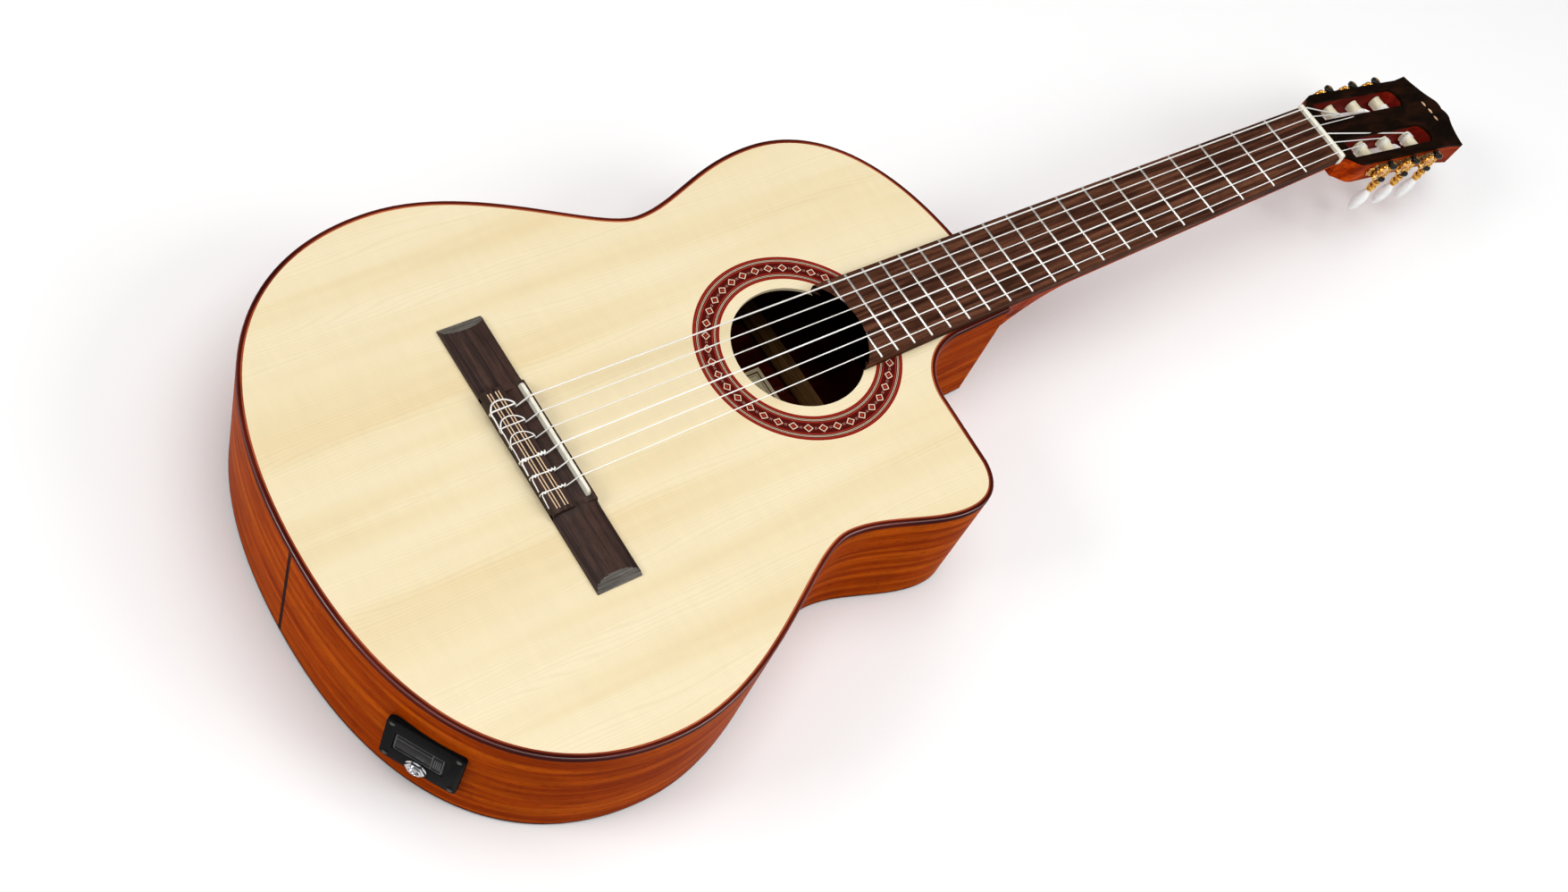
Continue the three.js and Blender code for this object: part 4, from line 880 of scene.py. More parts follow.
def heel_share(y):
    """1 at the foot of the heel, falling to 0 where the neck's plain depth begins."""
    if y <= HEEL_FOOT:
        return 1.0
    s = min(1.0, (y - HEEL_FOOT) / HEEL_LENGTH)
    return 1 - math.sqrt(1 - (1 - s) ** 2)


def fret_y(n):
    """Each fret is a twelfth root of two nearer to the saddle than the one before."""
    return SCALE_LENGTH * 2 ** (-n / 12)


def build_neck():
    steps = 28
    stations = [SHOULDER_Y, SHOULDER_Y + 10]
    stations += [HEEL_FOOT + HEEL_LENGTH * (i / steps) ** 2 for i in range(steps + 1)]
    stations += [410, 440, 480, 520, 560, 600, 630, 645, NUT_FAR]
    loops = []
    for y in stations:
        share = heel_share(y)
        power = 2 / (2 + 3 * share)
        along = (y - SHOULDER_Y) / (NUT_FAR - SHOULDER_Y)
        plain_depth = NECK_DEPTH_JOINT + (NECK_DEPTH_NUT - NECK_DEPTH_JOINT) * along
        depth = plain_depth + (TOP_Z - HEEL_BOTTOM - plain_depth) * share
        loop = []
        for k in range(steps + 1):
            angle = math.pi * k / steps
            across = math.copysign(abs(math.cos(angle)) ** power, math.cos(angle))
            down = abs(math.sin(angle)) ** power
            width = half_width(y) * across * (1 - HEEL_TAPER * share * down)
            loop.append((width, y, TOP_Z - depth * down))
        loops.append(loop)
    shaft = make("neck_wood", loops_to_bm(loops), "neck", "mahogany", smooth=WIDE_SMOOTH_ANGLE)
    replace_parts(shaft, "neck_shaft")

    cap = [(-CAP_HALF, SHOULDER_Y), (CAP_HALF, SHOULDER_Y)]
    cap += arc(0, CAP_STRAIGHT, CAP_HALF, 0, 180, 16, CAP_ROUND / CAP_HALF)
    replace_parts(make("heel_plate", prism(cap, 0, 2.5, 0.4), "veneer", "dark_trim"), "heel_cap")
    build_fingerboard()


def build_fingerboard():
    """The board, which ends in the circle of the sound hole, and its nineteen frets."""
    reach = math.sqrt(HOLE_RADIUS ** 2 - BOARD_END_X ** 2)
    corner_y = HOLE_Y + reach
    angle = math.degrees(math.atan2(reach, BOARD_END_X))
    outline = [(NUT_HALF, SCALE_LENGTH), (-NUT_HALF, SCALE_LENGTH), (-half_width(corner_y), corner_y)]
    outline += arc(0, HOLE_Y, HOLE_RADIUS, 180 - angle, angle, 40)
    outline.append((half_width(corner_y), corner_y))
    board = make("fingerboard_wood", prism(outline, TOP_Z, BOARD_TOP, 0.35), "board", "rosewood")
    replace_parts(board, "fingerboard")

    spans = []
    for n in range(1, FRET_COUNT):
        half = half_width(fret_y(n)) - FRET_INSET
        spans.append((n, "", -half, half))
    last = half_width(fret_y(FRET_COUNT)) - FRET_INSET
    inner = 9.0
    spans += [(FRET_COUNT, "_bass", -last, -inner), (FRET_COUNT, "_treble", inner, last)]
    first = None
    for n, word, left, right in spans:
        piece = make(f"fret_{n:02d}{word}", fret(left, right, fret_y(n)), "nickel", "nickel")
        if n == FRET_COUNT:
            end = lathe([(HOLE_RADIUS, TOP_Z), (HOLE_RADIUS, 110)], 160)
            carve(piece, shifted(end, 0, HOLE_Y, 0))
        first = first or piece
    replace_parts(first, "fret_set")


def fret(left, right, y):
    """A half-round crown whose ends are filed to a slope."""
    half_turn = [math.pi * k / 10 for k in range(11)]
    loops = []
    for x, share in [(left, 0.05), (left + 0.25, 0.6), (left + 0.8, 1), (right - 0.8, 1),
                     (right - 0.25, 0.6), (right, 0.05)]:
        loops.append([(x, y + FRET_HALF * math.cos(t), BOARD_TOP + FRET_RISE * share * math.sin(t))
                      for t in half_turn])
    return loops_to_bm(loops)


def build_nut():
    section = [(NUT_NEAR, 98), (NUT_FAR, 98), (NUT_FAR, 105.6), (654.5, 106.9), (653.6, 107.6),
               (652.6, NUT_TOP), (650.8, NUT_TOP), (650.25, 107.6), (NUT_NEAR, 107.0)]
    ends = [(25.5, 0.5), (25.1, 0.12), (24.6, 0)]
    nut = make("nut_bone", bar(section, ends, 100, 652.5, 0.1), "bone", "bone")
    grooves = []
    for i, radius in enumerate(STRING_RADII):
        x = string_x(i, NUT_SPREAD)
        high = 107 + radius + 0.3
        run = [(x, 645, high), (x, 652, high), (x, 657, 106.7 + radius)]
        grooves.append(tube(run, radius + 0.05, 12))
    carve(nut, *grooves)
    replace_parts(nut, "nut")


def string_x(index, spread):
    return (index / 5 - 0.5) * spread


# ---- headstock ----


def quad(start, handle, end, steps=8):
    points = []
    for i in range(steps):
        t = i / steps
        points.append(tuple(
            (1 - t) ** 2 * a + 2 * (1 - t) * t * b + t * t * c for a, b, c in zip(start, handle, end)))
    return points


def head_outline():
    shoulder = (HEAD_HALF, 26)
    right = [(25, -8)] + curve((25, 3), (26, 12), (HEAD_HALF, 12), shoulder, 12)
    right += [shoulder, (HEAD_HALF, 148.5)]
    right += quad((36.75, 166.5), (20, 171), (9, 181))
    right += quad((9, 181), (4, 183), (0, 180))
    left = [(-x, y) for x, y in reversed(right)]
    return right + [(0, 180)] + left


def slot_cutter(side):
    """A slot whose near end is square, whose far end is round, and which narrows by two ramps."""
    inner, outer, start, end = 10.0, 27.0, 15.0, 137.0
    middle, half = (inner + outer) / 2, (outer - inner) / 2
    plan = [(inner, start), (outer, start)] + arc(middle, end - half, half, 0, 180, 16)
    loops = []
    for z, near, far in ((1.0, 0.0, 0.0), (-HEAD_THICKNESS - 1, 14.0, 12.0)):
        loop = []
        for x, y in plan:
            share = (y - start) / (end - start)
            loop.append((side * x, y + near * (1 - share) - far * share, z))
        loops.append(loop)
    return loops_to_bm(loops)


def head_plate(name, low, high, material, slot, cutters, wall=None):
    """A layer of the head between two heights, cut off flat just beyond the nut."""
    bm = prism(head_outline(), low, high)
    local = HEAD.inverted()
    bmesh.ops.bisect_plane(
        bm, geom=bm.verts[:] + bm.edges[:] + bm.faces[:], plane_co=local @ Vector((0, NUT_FAR + 0.3, 0)),
        plane_no=local.to_3x3() @ Vector((0, 1, 0)), clear_inner=True)
    bmesh.ops.holes_fill(bm, edges=[e for e in bm.edges if e.is_boundary], sides=0)
    piece = make(name, bm, material, slot, at=HEAD)
    return carve(piece, *cutters, wall=wall)


def roller_frame(side, y):
    """The frame of a roller: Z runs along its axis, out to its side of the head."""
    return HEAD @ Matrix.Translation((0, y, ROLLER_Z)) @ Matrix.Rotation(side * math.pi / 2, 4, "Y")


def roller_bores():
    return [moved(lathe([(3, 5), (3, HEAD_HALF + 2)], 20), roller_frame(side, y))
            for side in (-1, 1) for y in ROLLER_YS]


def build_head():
    cutters = [moved(slot_cutter(side), HEAD) for side in (-1, 1)]
    # The slots' cut walls take the darker slot tone, painted shade.
    core = head_plate(
        "head_wood", -HEAD_THICKNESS, -2.1, "neck", "mahogany", cutters + roller_bores(), "slot")
    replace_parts(core, "headstock")
    cutters = [moved(slot_cutter(side), HEAD) for side in (-1, 1)]
    face = head_plate("head_face", -2, 0, "veneer", "ebony_veneer", cutters)
    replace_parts(face, "head_veneer")
    leaf = [(-2.7, 0), (-1.3, -1.2), (0.3, -1.7), (1.6, -1.1), (2.7, 0), (1.4, 1.1), (0, 1.6),
            (-1.4, 1.1)]
    for i, (x, y) in enumerate([(-7.6, 161.0), (0, 162.0), (7.6, 161.0)], 1):
        gem = prism([(x + dx, y + dy) for dx, dy in leaf], -0.5, 0.06)
        make(f"head_inlay_{i}", gem, "inlay", "mosaic", at=HEAD)


def side_frame(side):
    """The frame of one side face of the head: X along the head, Y to its front, Z outward."""
    turn = Matrix(((0, 0, side), (1, 0, 0), (0, 1, 0))).to_4x4()
    return HEAD @ Matrix.Translation((side * HEAD_HALF, 0, ROLLER_Z)) @ turn


def plate_outline():
    """The tuner plate's long scalloped edge: full at each machine, narrow between, round at the ends."""
    start, end = 33.5, 141.5
    upper = []
    steps = 108
    for i in range(steps + 1):
        y = start + (end - start) * i / steps
        near = min(abs(y - (r + WORM_STEP / 2)) for r in ROLLER_YS)
        height = 4.6 + 1.9 * max(0.0, math.cos(min(near / 15, 1) * math.pi / 2)) ** 0.6
        lobe = min(y - start, end - y)
        if lobe < 5:
            height = min(height, 4.4 * math.sqrt(max(0.0, 1 - (1 - lobe / 5) ** 2)))
        elif lobe < 9:
            height = min(height, 3.4 + (lobe - 5) * 0.5)
        upper.append((y, max(height, 0.2)))
    return upper + [(y, -h) for y, h in reversed(upper)]


SCROLL_STEPS = 25


def scroll(x, y, direction):
    """A raised curl of the engraving, which winds inward and thins out."""
    points = []
    for i in range(SCROLL_STEPS + 1):
        t = i / SCROLL_STEPS
        r = 1.7 * (1 - 0.8 * t)
        angle = direction * 2 * math.pi * 1.4 * t
        points.append((x + r * math.cos(angle), y + r * math.sin(angle), 1.55))
    return tube(points, 0.36, 8, [1 - 0.5 * k / SCROLL_STEPS for k in range(SCROLL_STEPS + 1)])


def build_tuners():
    for side, word in SIDES:
        at = side_frame(side)
        base = prism(plate_outline(), 0.3, 1.5, 0.25)
        base = make(f"machine_plate_{word}", base, "engraved", "gold", at=at)
        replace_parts(base, f"tuner_plate_{word}")
        scrolls = [scroll(y, sign * 2.1, sign) for y in (39.0, 66.5, 101.0, 136.0) for sign in (-1, 1)]
        make(f"machine_scrolls_{word}", merged(*scrolls), "gold", "gold", at=at)
        screws = [shifted(screw(1.5), y, 0, 1.45) for y in (36.2, 70.5, 105.5, 139.0)]
        make(f"machine_screws_{word}", merged(*screws), "gold", "gold", at=at)
        for i, y in enumerate(ROLLER_YS, 1):
            label = f"{word}_{i}"
            bracket(label, y + WORM_STEP, at)
            roller(label, side, y)
            button(label, side, y)


def screw(radius):
    """A low domed head with a slot across it."""
    dome = [(radius, 0), (radius, 0.25), (radius * 0.8, 0.6), (radius * 0.4, 0.78), (0.01, 0.82)]
    return merged(lathe(dome, 20), block((-radius, -0.16, 0.5), (radius, 0.16, 0.86), 0.02))


def bracket(label, y, at):
    """The two black lugs that hold a worm, each a dome on a short foot."""
    dome = [(3.85 * math.sqrt(1 - (1 - i / 4) ** 4 * 0.9), -2.0 + i / 2) for i in range(9)]
    lugs = []
    for low, high in ((5.0, 9.0), (-9.0, -5.0)):
        lug = moved(lathe(dome, 28), Matrix.Rotation(math.pi / 2, 4, "X"))
        foot = block((y - 2.6, low + 0.4, 0.6), (y + 2.6, high - 0.4, 4.4), 0.5, 2)
        lugs += [shifted(lug, y, (low + high) / 2, 4.2), foot]
    make(f"worm_bracket_{label}", merged(*lugs), "enamel", "gold", at=at)


def roller(label, side, y):
    """Cream sleeve with the string wound on it, steel shaft and toothed gold wheel."""
    at = roller_frame(side, y)
    body = f"roller_{label}"
    sleeve = [(2.6, 10.6), (4.6, 10.6), (5.0, 11.0), (5.0, 11.8), (4.75, 12.4), (4.7, 24.8), (5.0, 25.4),
              (5.0, 26.0), (4.6, 26.4), (2.6, 26.4)]
    piece = make(f"roller_sleeve_{label}", lathe(sleeve, 36), "cream", "bone", body, at=at)
    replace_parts(piece, body)
    shaft = [(2.4, 5.6), (2.4, 37.4)]
    make(f"roller_shaft_{label}", lathe(shaft, 20), "steel", "gold", body, at=at)
    make(f"roller_cog_{label}", cog(), "gold", "gold", body, at=at)
    cap = shifted(screw(2.2), 0, 0, 40.2)
    make(f"roller_screw_{label}", cap, "gold", "gold", body, at=at)
    winding = []
    steps = 90 if side < 0 else 70
    for k in range(steps + 1):
        t = 2 * math.pi * k / 20
        winding.append((5.15 * math.cos(t), 5.15 * math.sin(t), 13.2 + 0.95 * k / 20))
    make(f"roller_winding_{label}", tube(winding, 0.42, 8), "nylon", "nylon", body, at=at)


def cog():
    """A flat wheel with sixteen rounded teeth, dished in its middle."""
    teeth, steps = 16, 128
    radii = [6.45 + 0.5 * max(-1.0, min(1.0, 1.6 * math.cos(teeth * t))) for t in turns(steps)]
    loops = [round_loop([r * scale for r in radii], z)
             for z, scale in [(37.3, 0.97), (37.6, 1.0), (39.6, 1.0), (40.0, 0.97)]]
    loops += [round_loop([r] * steps, z) for r, z in ((4.6, 40.0), (4.2, 39.6))]
    return loops_to_bm(loops)


def button(label, side, y):
    """Worm and shaft in gold, two ball ferrules, and the white pearloid button."""
    at = HEAD @ Matrix.Translation((side * WORM_X, y + WORM_STEP, ROLLER_Z))
    body = f"tuner_button_{label}"
    top = BUTTON_TOP - ROLLER_Z
    thread_pitch, sides, rows = 2.4, 24, 60
    worm = []
    for row in range(rows + 1):
        z = -4.5 + 9 * row / rows
        phase = 2 * math.pi * z / thread_pitch
        worm.append(round_loop([2.15 + 0.3 * math.cos(phase - t) for t in turns(sides)], z))
    shaft = lathe([(1.5, top - 1.5), (1.5, 9.3)], 20)
    make(f"worm_{label}", merged(loops_to_bm(worm), shaft), "gold", "gold", body, at=at)
    ferrule = [(1.5, -9.6), (2.1, -9.7), (2.9, -10.6), (3.2, -12.0), (2.9, -13.4), (2.0, -14.2),
               (2.0, -14.5), (2.8, -15.1), (3.2, -16.4), (2.9, -17.8), (2.4, -18.6), (2.6, -19.2),
               (2.6, -20.3), (1.5, -20.4)]
    make(f"button_ferrule_{label}", lathe(ferrule, 28), "gold", "gold", body, at=at)
    grip = []
    steps = 26
    for i in range(steps + 1):
        t = i / steps
        bulge = math.sin(math.pi * t) ** 0.55 if 0 < t < 1 else 0.02
        fullness = 0.86 + 0.14 * t
        height = top + 0.2 - (BUTTON_LENGTH - 0.2) * t
        loop = []
        for angle in turns(32):
            across = math.copysign(abs(math.cos(angle)) ** 0.8, math.cos(angle))
            along = math.copysign(abs(math.sin(angle)) ** 0.8, math.sin(angle))
            loop.append((
                BUTTON_HALF_X * bulge * across, BUTTON_HALF_Y * bulge * fullness * along, height))
        grip.append(loop)
    piece = make(f"button_pearl_{label}", loops_to_bm(grip), "pearl", "button_pearl", body, at=at)
    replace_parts(piece, body)


# ---- bridge ----

BRIDGE_TAIL, BRIDGE_FRONT, BRIDGE_HALF, BLOCK_HALF = -25.5, 3.5, 94.0, 43.0
TIE_TOP = 106.5
SADDLE_TOP = 109.05


def bridge_wing(side):
    """An arched wing that ends in a flat sloping face."""
    middle, half = (BRIDGE_TAIL + BRIDGE_FRONT) / 2, (BRIDGE_FRONT - BRIDGE_TAIL) / 2
    columns = [BLOCK_HALF - 3 + i * (BRIDGE_HALF - BLOCK_HALF + 3) / 90 for i in range(91)]
    loops = []
    for x in columns:
        slope = 0.9 + 4.2 * (BRIDGE_HALF - x) / 8.5
        root = 0.9 * max(0.0, 1 - (x - BLOCK_HALF) / 6) ** 2 if x > BLOCK_HALF else 0.9
        loop = [(side * x, BRIDGE_TAIL, TOP_Z - 0.1)]
        for k in range(33):
            t = -1 + 2 * k / 32
            arch = 1.9 + 2.6 * math.sqrt(max(0.0, 1 - t * t)) + root
            loop.append((side * x, middle + half * t, TOP_Z + min(arch, slope)))
        loop.append((side * x, BRIDGE_FRONT, TOP_Z - 0.1))
        loops.append(loop)
    return loops_to_bm(loops)


def bridge_centre():
    """Tie block, trough, ramp and saddle block, as one section pulled across."""
    section = [(BRIDGE_TAIL, TOP_Z), (BRIDGE_TAIL, 105.9), (-25.2, 106.35), (-24.7, TIE_TOP),
               (-12.6, TIE_TOP), (-12.15, 106.3), (-12, 105.8), (-12, 101.6), (-11.4, 101.1),
               (-9.2, 101.1), (-2.9, 104.15), (0.3, 104.25), (2.3, 104.2), (3.2, 103.7),
               (BRIDGE_FRONT, 102.9), (BRIDGE_FRONT, TOP_Z)]
    return bar(section, [(BLOCK_HALF, 0.5), (BLOCK_HALF - 0.3, 0.12), (BLOCK_HALF - 0.8, 0)], 100)


def build_bridge():
    centre = make("bridge_block", bridge_centre(), "bridge", "rosewood")
    slot = block((-39.8, -2.55, 100.6), (39.8, 0.05, 112), 0.05)
    holes = []
    for i in range(6):
        rod = moved(lathe([(1.3, -1), (1.3, 16)], 16), Matrix.Rotation(-math.pi / 2, 4, "X"))
        holes.append(shifted(rod, string_x(i, SADDLE_SPREAD), -26.5, 102.5))
    carve(centre, slot, *holes)
    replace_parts(centre, "bridge")
    for side, word in SIDES:
        wing = make(f"bridge_wing_{word}", bridge_wing(side), "bridge", "rosewood", smooth=ARRIS_ANGLE)
        # The end faces that face outward take the lighter grey tone, a painted highlight.
        paint(wing, "bridge_end_painted_light", lambda face, side=side: face.normal.x * side > 0.35)
    lines = [block((-40.5, y - 0.32, TIE_TOP - 0.6), (40.5, y + 0.32, TIE_TOP + 0.03), 0.02)
             for y in (-22.6, -20.7, -17.4, -15.5)]
    make("tie_block_lines", merged(*lines), "line", "mosaic")
    saddle()
    for index in range(6):
        tie(index)


def saddle():
    """A bone strip with a rounded crest and rounded ends."""
    section = [(-2.5, 101.5), (0, 101.5), (0, 107.9), (-0.25, 108.6), (-0.75, 108.95),
               (-1.25, SADDLE_TOP), (-1.75, 108.95), (-2.25, 108.6), (-2.5, 107.9)]
    ends = [(39.5, 2.2), (39.1, 1.1), (38.3, 0.35), (37, 0)]
    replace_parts(make("saddle_bone", bar(section, ends, 103), "bone", "bone"), "saddle")


def tie(index):
    """The knot of one string: out of the block's rear, forward over it, and round itself."""
    x = string_x(index, SADDLE_SPREAD)
    radius = STRING_RADII[index]
    over = TIE_TOP + radius
    rear = BRIDGE_TAIL - radius
    wound = index < 3
    strand = [(x, rear - 0.1, 102.6), (x - 0.1, rear - 0.9, 104.4), (x, rear - 0.3, TIE_TOP - 0.2),
              (x, -24.4, over)]
    if wound:
        strand += [(x, -18.0, over), (x, -12.8, over), (x - 0.1, -11.2, over - 0.1)]
        route = [(x, -12.4, 102.7), (x, -11.0, 103.0), (x + 0.4, -10.6, 105.2),
                 (x - 0.4, -11.4, over + 0.5), (x - 2.6, -12.6, over + 0.2), (x - 4.9, -15.6, over),
                 (x - 5.6, -19.4, over), (x - 4.8, -23.2, over), (x - 2.6, -25.3, over - 0.15),
                 (x + 0.4, rear - 0.35, TIE_TOP - 1.0), (x + 4.2, rear, TIE_TOP - 1.6),
                 (x + 9.5, rear, TIE_TOP - 2.3), (x + 13.0, rear, TIE_TOP - 3.2)]
        parts = [tube(smooth_route(route), radius), tube(smooth_route(strand), radius)]
    else:
        strand += [(x + 0.4, -18.0, over), (x + 0.5, -12.8, over), (x + 0.4, -10.9, over - 0.6),
                   (x + 0.1, -9.6, 104.6)]
        tail = [(x + 0.8, -26.0, over - 0.4), (x + 2.0, rear - 0.2, TIE_TOP - 1.0),
                (x + 5.5, rear, TIE_TOP - 1.9), (x + 9.0, rear, TIE_TOP - 2.6)]
        parts = [tube(smooth_route(strand), radius)]
        parts += [twist(x, over, radius, -16.2, -10.8, 2.5), twist(x, over, radius, -26.2, -22.2, 2.0)]
        parts.append(tube(smooth_route(tail), radius, 8))
    make(f"tie_{6 - index}", merged(*parts), *string_look(wound))


def twist(x, over, radius, start_y, end_y, count):
    """The turns that the free end of a nylon string makes round its own strand."""
    steps = 34
    points = []
    for k in range(steps + 1):
        angle = 2 * math.pi * count * k / steps
        y = start_y + (end_y - start_y) * k / steps
        lowest = over if y > -25.4 else 0
        points.append((x + 0.35 + 1.8 * radius * math.cos(angle), y,
                       max(over + 1.5 * radius * math.sin(angle), lowest)))
    return tube(points, radius * 0.95, 8)


def string_look(wound):
    """The material and the slot of a string."""
    return ("wound", "wound_silver") if wound else ("nylon", "nylon")


# ---- strings ----

STRING_NODES = ["string_6_e_low", "string_5_a", "string_4_d", "string_3_g", "string_2_b", "string_1_e"]


def build_strings():
    for index, node in enumerate(STRING_NODES):
        radius = STRING_RADII[index]
        x, nut_x = string_x(index, SADDLE_SPREAD), string_x(index, NUT_SPREAD)
        wound = index < 3
        order = index if wound else 5 - index
        across = (13.2 if order else 15.0) * (-1 if wound else 1)
        target = HEAD @ Vector((across, ROLLER_YS[order] - 0.6, ROLLER_Z + ROLLER_RADIUS + radius + 0.1))
        crest = SADDLE_TOP + radius
        nut_z = 107.3 + radius
        span = [(x, -13.2, 102.6), (x, -11.6, 102.8), (x, -8.4, 104.2), (x, -3.4, 107.9 + radius * 0.6),
                (x, -2.1, 108.75 + radius), (x, -1.25, crest), (x, 0.4, crest), (x, 6, crest - 0.02)]
        far = Vector((nut_x, 651.2, nut_z))
        near = Vector(span[-1])
        route = smooth_route(span, 5) + [near.lerp(far, t / 12) for t in range(1, 13)]
        route += [Vector((nut_x, 653.4, nut_z - 0.12)), Vector((nut_x, 655.0, nut_z - 0.6))]
        start = route[-1]
        route += [start.lerp(target, t / 6) for t in range(1, 7)]
        piece = make(f"string_{6 - index}", tube(route, radius), *string_look(wound))
        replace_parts(piece, node)


# ---- output socket and battery door ----


def hex_nut(half_across, hole, low, high):
    """A six-sided nut with a bevelled top, as a closed ring around its hole."""
    bevel, sides = 0.4, 48
    walls = [half_across / math.cos(t % (math.pi / 3) - math.pi / 6) - hole for t in turns(sides)]
    loops = [round_loop([hole + share * wall for wall in walls], z)
             for share, z in ((0, low), (1, low), (1, high - bevel), (0.75, high), (0, high))]
    return loops_to_bm(loops, closed=True)


def corner_screws(radius, x, y, height):
    """Four screws at the corners of a plate."""
    return merged(*[shifted(screw(radius), sx, sy, height) for sx in (-x, x) for sy in (-y, y)])


def build_output():
    base = prism(rounded(24.25, 23.5, 3.2), -1.6, OUTPUT_FRONT, 0.6)
    base = make("socket_plate", base, "satin", "black_plastic", at=OUTPUT)
    gap = 0.3
    door_hole = block(
        (DOOR_LEFT - gap, DOOR_LOW - gap, -4), (DOOR_RIGHT + gap, DOOR_HIGH + gap, 5), 0.6, 2)
    barrel_hole = shifted(lathe([(4.9, -4), (4.9, 5)], 40), *JACK, 0)
    carve(base, moved(door_hole, OUTPUT), moved(barrel_hole, OUTPUT))
    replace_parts(base, "output_plate")
    screws = corner_screws(1.7, 20.6, 19.8, OUTPUT_FRONT - 0.1)
    make("socket_plate_screws", screws, "screw", "nickel", at=OUTPUT)

    leaf = block((DOOR_LEFT, DOOR_LOW, 0.2), (DOOR_RIGHT, DOOR_HIGH, OUTPUT_FRONT - 0.25), 0.4, 2)
    door = make("door_leaf", leaf, "black", "black_plastic", "battery_door", at=OUTPUT)
    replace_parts(door, "battery_door")
    ridges = []
    for dx, dy, width, height in [
            (0.9, 0.9, 29.7, 0.6), (0.9, 14.6, 23.2, 0.6), (0.9, 0.9, 0.5, 18.7),
            (30.1, 0.9, 0.5, 18.7), (23.6, 0.9, 0.5, 18.7), (0.9, 19.1, 29.7, 0.4)]:
        x, y = DOOR_LEFT + dx, DOOR_LOW + dy
        ridges.append(block((x, y, 1.4), (x + width, y + height, OUTPUT_FRONT), 0.12))
    for k in range(4):
        x = DOOR_LEFT + 25.2 + 1.15 * k
        ridges.append(block((x, DOOR_LOW + 5, 1.4), (x + 0.5, DOOR_HIGH - 5, OUTPUT_FRONT + 0.1), 0.12))
    # The ridges take the grey tone, a painted highlight.
    make("door_relief", merged(*ridges), "ridge", "black_plastic", "battery_door", at=OUTPUT)

    washer = lathe([(4.45, 2.05), (6.5, 2.05), (6.55, 2.4), (6.2, 2.6), (4.45, 2.6)], 48, closed=True)
    hexagon = hex_nut(5.6, 4.45, 2.62, 4.2)
    barrel = lathe([(3.3, -27), (4.6, -27), (4.6, 2.2), (4.4, 2.4), (4.4, 4.7), (4.1, 5.0), (3.5, 5.0),
                    (3.3, 4.6)], 40, closed=True)
    socket = make("jack_barrel", shifted(barrel, *JACK, 0), "chrome", "nickel", at=OUTPUT)
    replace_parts(socket, "jack_socket")
    make("jack_nut", shifted(merged(washer, hexagon), *JACK, 0), "chrome", "nickel", at=OUTPUT)


def build_preamp():
    base = prism(rounded(32, 20, 3), -1.4, PREAMP_FRONT, 0.5)
    base = make("panel_plate", base, "satin", "black_plastic", at=PREAMP)
    holes = [shifted(lathe([(2.3, -4), (2.3, 5)], 24), x, KNOB_Y, 0) for x in KNOB_XS]
    holes.append(shifted(lathe([(3.2, -4), (3.2, 5)], 24), PRESS_X, PRESS_Y, 0))
    carve(base, *[moved(hole, PREAMP) for hole in holes])
    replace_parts(base, "preamp_panel")
    marks = []
    for x in KNOB_XS:
        for k in range(11):
            t = math.radians(-140 + 28 * k)
            mark = block((-0.2, 7.4, PREAMP_FRONT - 0.1), (0.2, 8.6, PREAMP_FRONT + 0.04), 0.02)
            marks.append(moved(mark, Matrix.Translation((x, KNOB_Y, 0)) @ Matrix.Rotation(t, 4, "Z")))
    make("panel_marks", merged(*marks), "white", "black_plastic", at=PREAMP)
    screws = corner_screws(1.6, 28.6, 16.6, PREAMP_FRONT - 0.1)
    make("panel_screws", screws, "chrome", "nickel", at=PREAMP)
    window = prism(rounded(12, 3.8, 1), PREAMP_FRONT - 0.2, PREAMP_FRONT + 0.25, 0.12)
    make("tuner_window", shifted(window, -12, -11, 0), "enamel", "black_plastic", at=PREAMP)
    lamps = [shifted(lathe([(1.1, 1.9), (1.1, 2.2), (0.7, 2.5), (0.01, 2.6)], 16), -20 + 4 * k, -11, 0)
             for k in range(5)]
    make("tuner_lamps", merged(*lamps), "lamp", "black_plastic", at=PREAMP)
    for x, node in zip(KNOB_XS, ("volume_knob", "bass_knob", "treble_knob")):
        at = PREAMP @ Matrix.Translation((x, KNOB_Y, 0))
        piece = make(f"{node}_cap", knurled_knob(), "black", "black_plastic", node, at=at)
        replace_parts(piece, node)
        mark = block((-0.35, 1.4, 8.0), (0.35, 5.2, 8.36), 0.06)
        make(f"{node}_mark", mark, "white", "black_plastic", node, at=at)
    press = lathe([(2.6, -3.2), (2.6, 3.3), (2.35, 3.65), (1.6, 3.8), (0.01, 3.8)], 28)
    piece = make("push_button_cap", shifted(press, PRESS_X, PRESS_Y, 0), "black", "black_plastic",
                 "tuner_push_button", at=PREAMP)
    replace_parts(piece, "tuner_push_button")


def knurled_knob():
    """A turned cap with shallow flutes round its side, on a thin shaft."""
    flutes, steps, depth = 24, 144, 0.18
    profile = [(1.5, -4.2, 0), (1.5, 2.2, 0), (5.2, 2.2, 0), (5.45, 2.5, 1), (5.4, 7.4, 1),
               (5.1, 8.0, 0.4), (4.7, 8.2, 0)]
    waves = [depth * (0.5 + 0.5 * math.cos(flutes * t)) for t in turns(steps)]
    return loops_to_bm([round_loop([radius - share * wave for wave in waves], z)
                        for radius, z, share in profile])


# ---- floor, light and camera ----


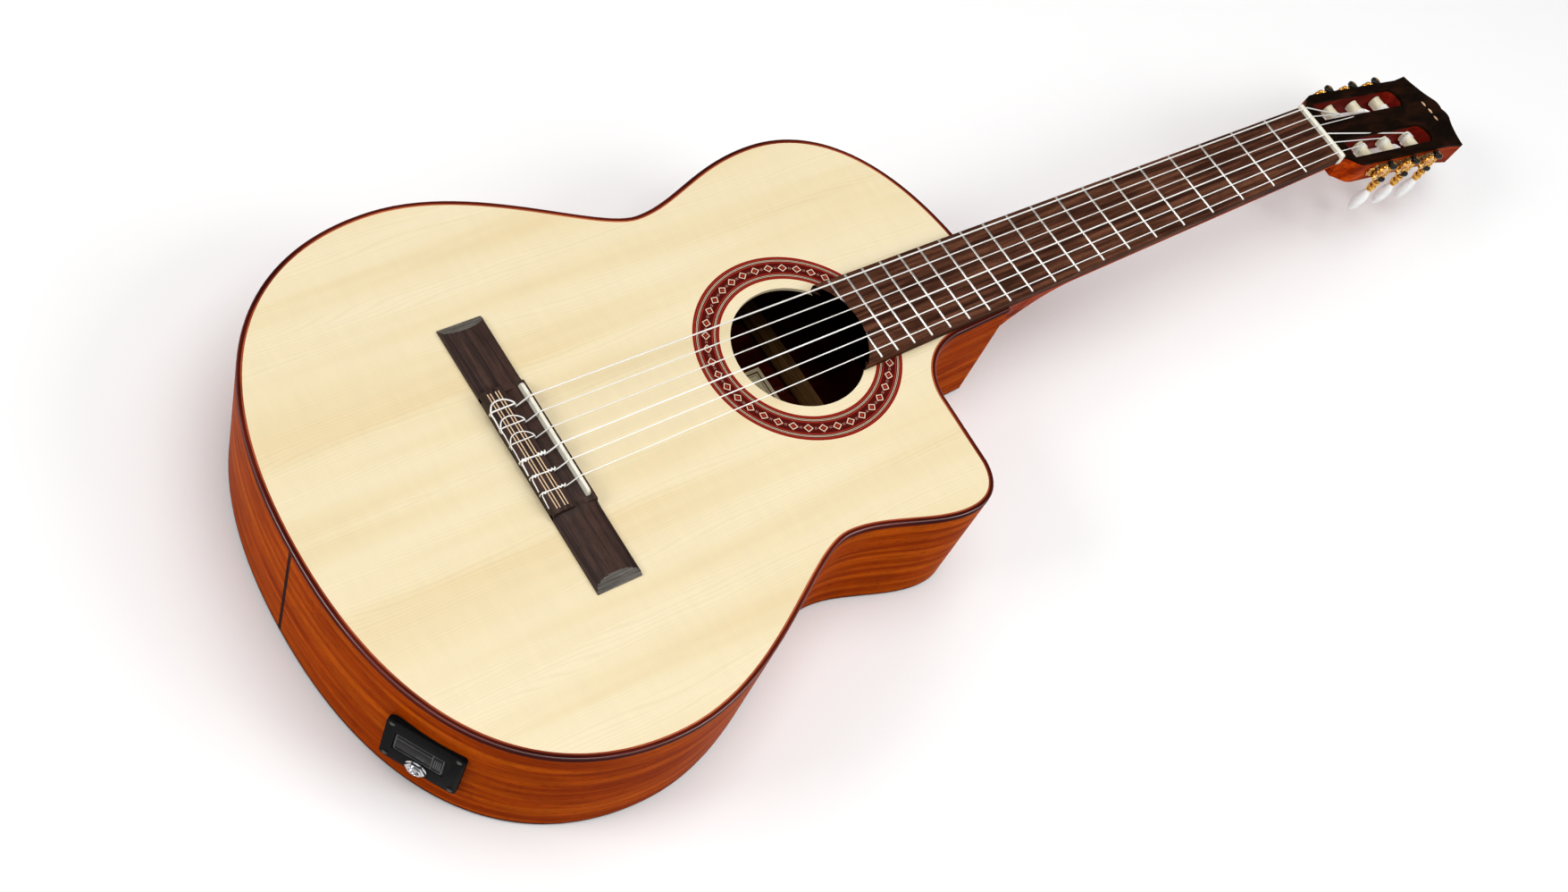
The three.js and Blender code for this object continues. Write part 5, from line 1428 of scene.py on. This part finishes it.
def pale(name, color, roughness):
    recipe = Recipe(name, roughness=roughness)
    cloud = recipe.noise(recipe.place(), (90, 90, 90), 3.0)
    return recipe.finish(recipe.shade(color, cloud, 0.99, 1.01))


def build_stage():
    size = 6000.0
    bm = bmesh.new()
    corners = [(-size, -size), (size, -size), (size, size), (-size, size)]
    bm.faces.new([bm.verts.new((x, y, -0.4)) for x, y in corners])
    mesh = to_mesh("floor", bm, outward=False)
    mesh.materials.append(pale("floor_pale", rgb(252, 252, 252), 0.9))
    floor = bpy.data.objects.new("floor", mesh)
    bpy.context.scene.collection.objects.link(floor)

    world = bpy.data.worlds.new("studio")
    world.use_nodes = True
    background = world.node_tree.nodes["Background"]
    background.inputs["Color"].default_value = (1.0, 1.0, 1.0, 1.0)
    background.inputs["Strength"].default_value = 0.3
    bpy.context.scene.world = world

    aim = Vector((0.0, 0.1, 0.05))
    for name, spot, power, width in [("key", (-0.9, -2.3, 1.8), 33, 1.2), ("top", (0.2, 0.2, 2.3), 28, 1.6),
                                     ("rim", (1.4, 1.25, 1.6), 16, 1.0)]:
        light = bpy.data.lights.new(name, "AREA")
        light.energy, light.size, light.shape = power, width, "SQUARE"
        lamp = bpy.data.objects.new(name, light)
        lamp.location = spot
        lamp.rotation_euler = (aim - Vector(spot)).to_track_quat("-Z", "Y").to_euler()
        bpy.context.scene.collection.objects.link(lamp)


def build_camera():
    """The camera looks down from the treble side of the tail towards the headstock."""
    right = Vector((0.52989061, 0.80191334, 0.27595458))
    down = Vector((0.78838880, -0.34589074, -0.50872655))
    ahead = Vector((-0.31250447, 0.48712893, -0.81550375))
    lens = bpy.data.cameras.new("camera")
    lens.sensor_width = 36.0
    lens.lens = 44.514
    camera = bpy.data.objects.new("camera", lens)
    turn = Matrix((right, -down, -ahead)).transposed().to_4x4()
    camera.matrix_world = Matrix.Translation((0.416778, -0.434662, 1.037937)) @ turn
    bpy.context.scene.collection.objects.link(camera)
    bpy.context.scene.camera = camera


build_body()
build_inside()
build_neck()
build_nut()
build_head()
build_tuners()
build_bridge()
build_strings()
build_output()
build_preamp()
build_stage()
build_camera()
bpy.context.scene.view_settings.view_transform = "Standard"
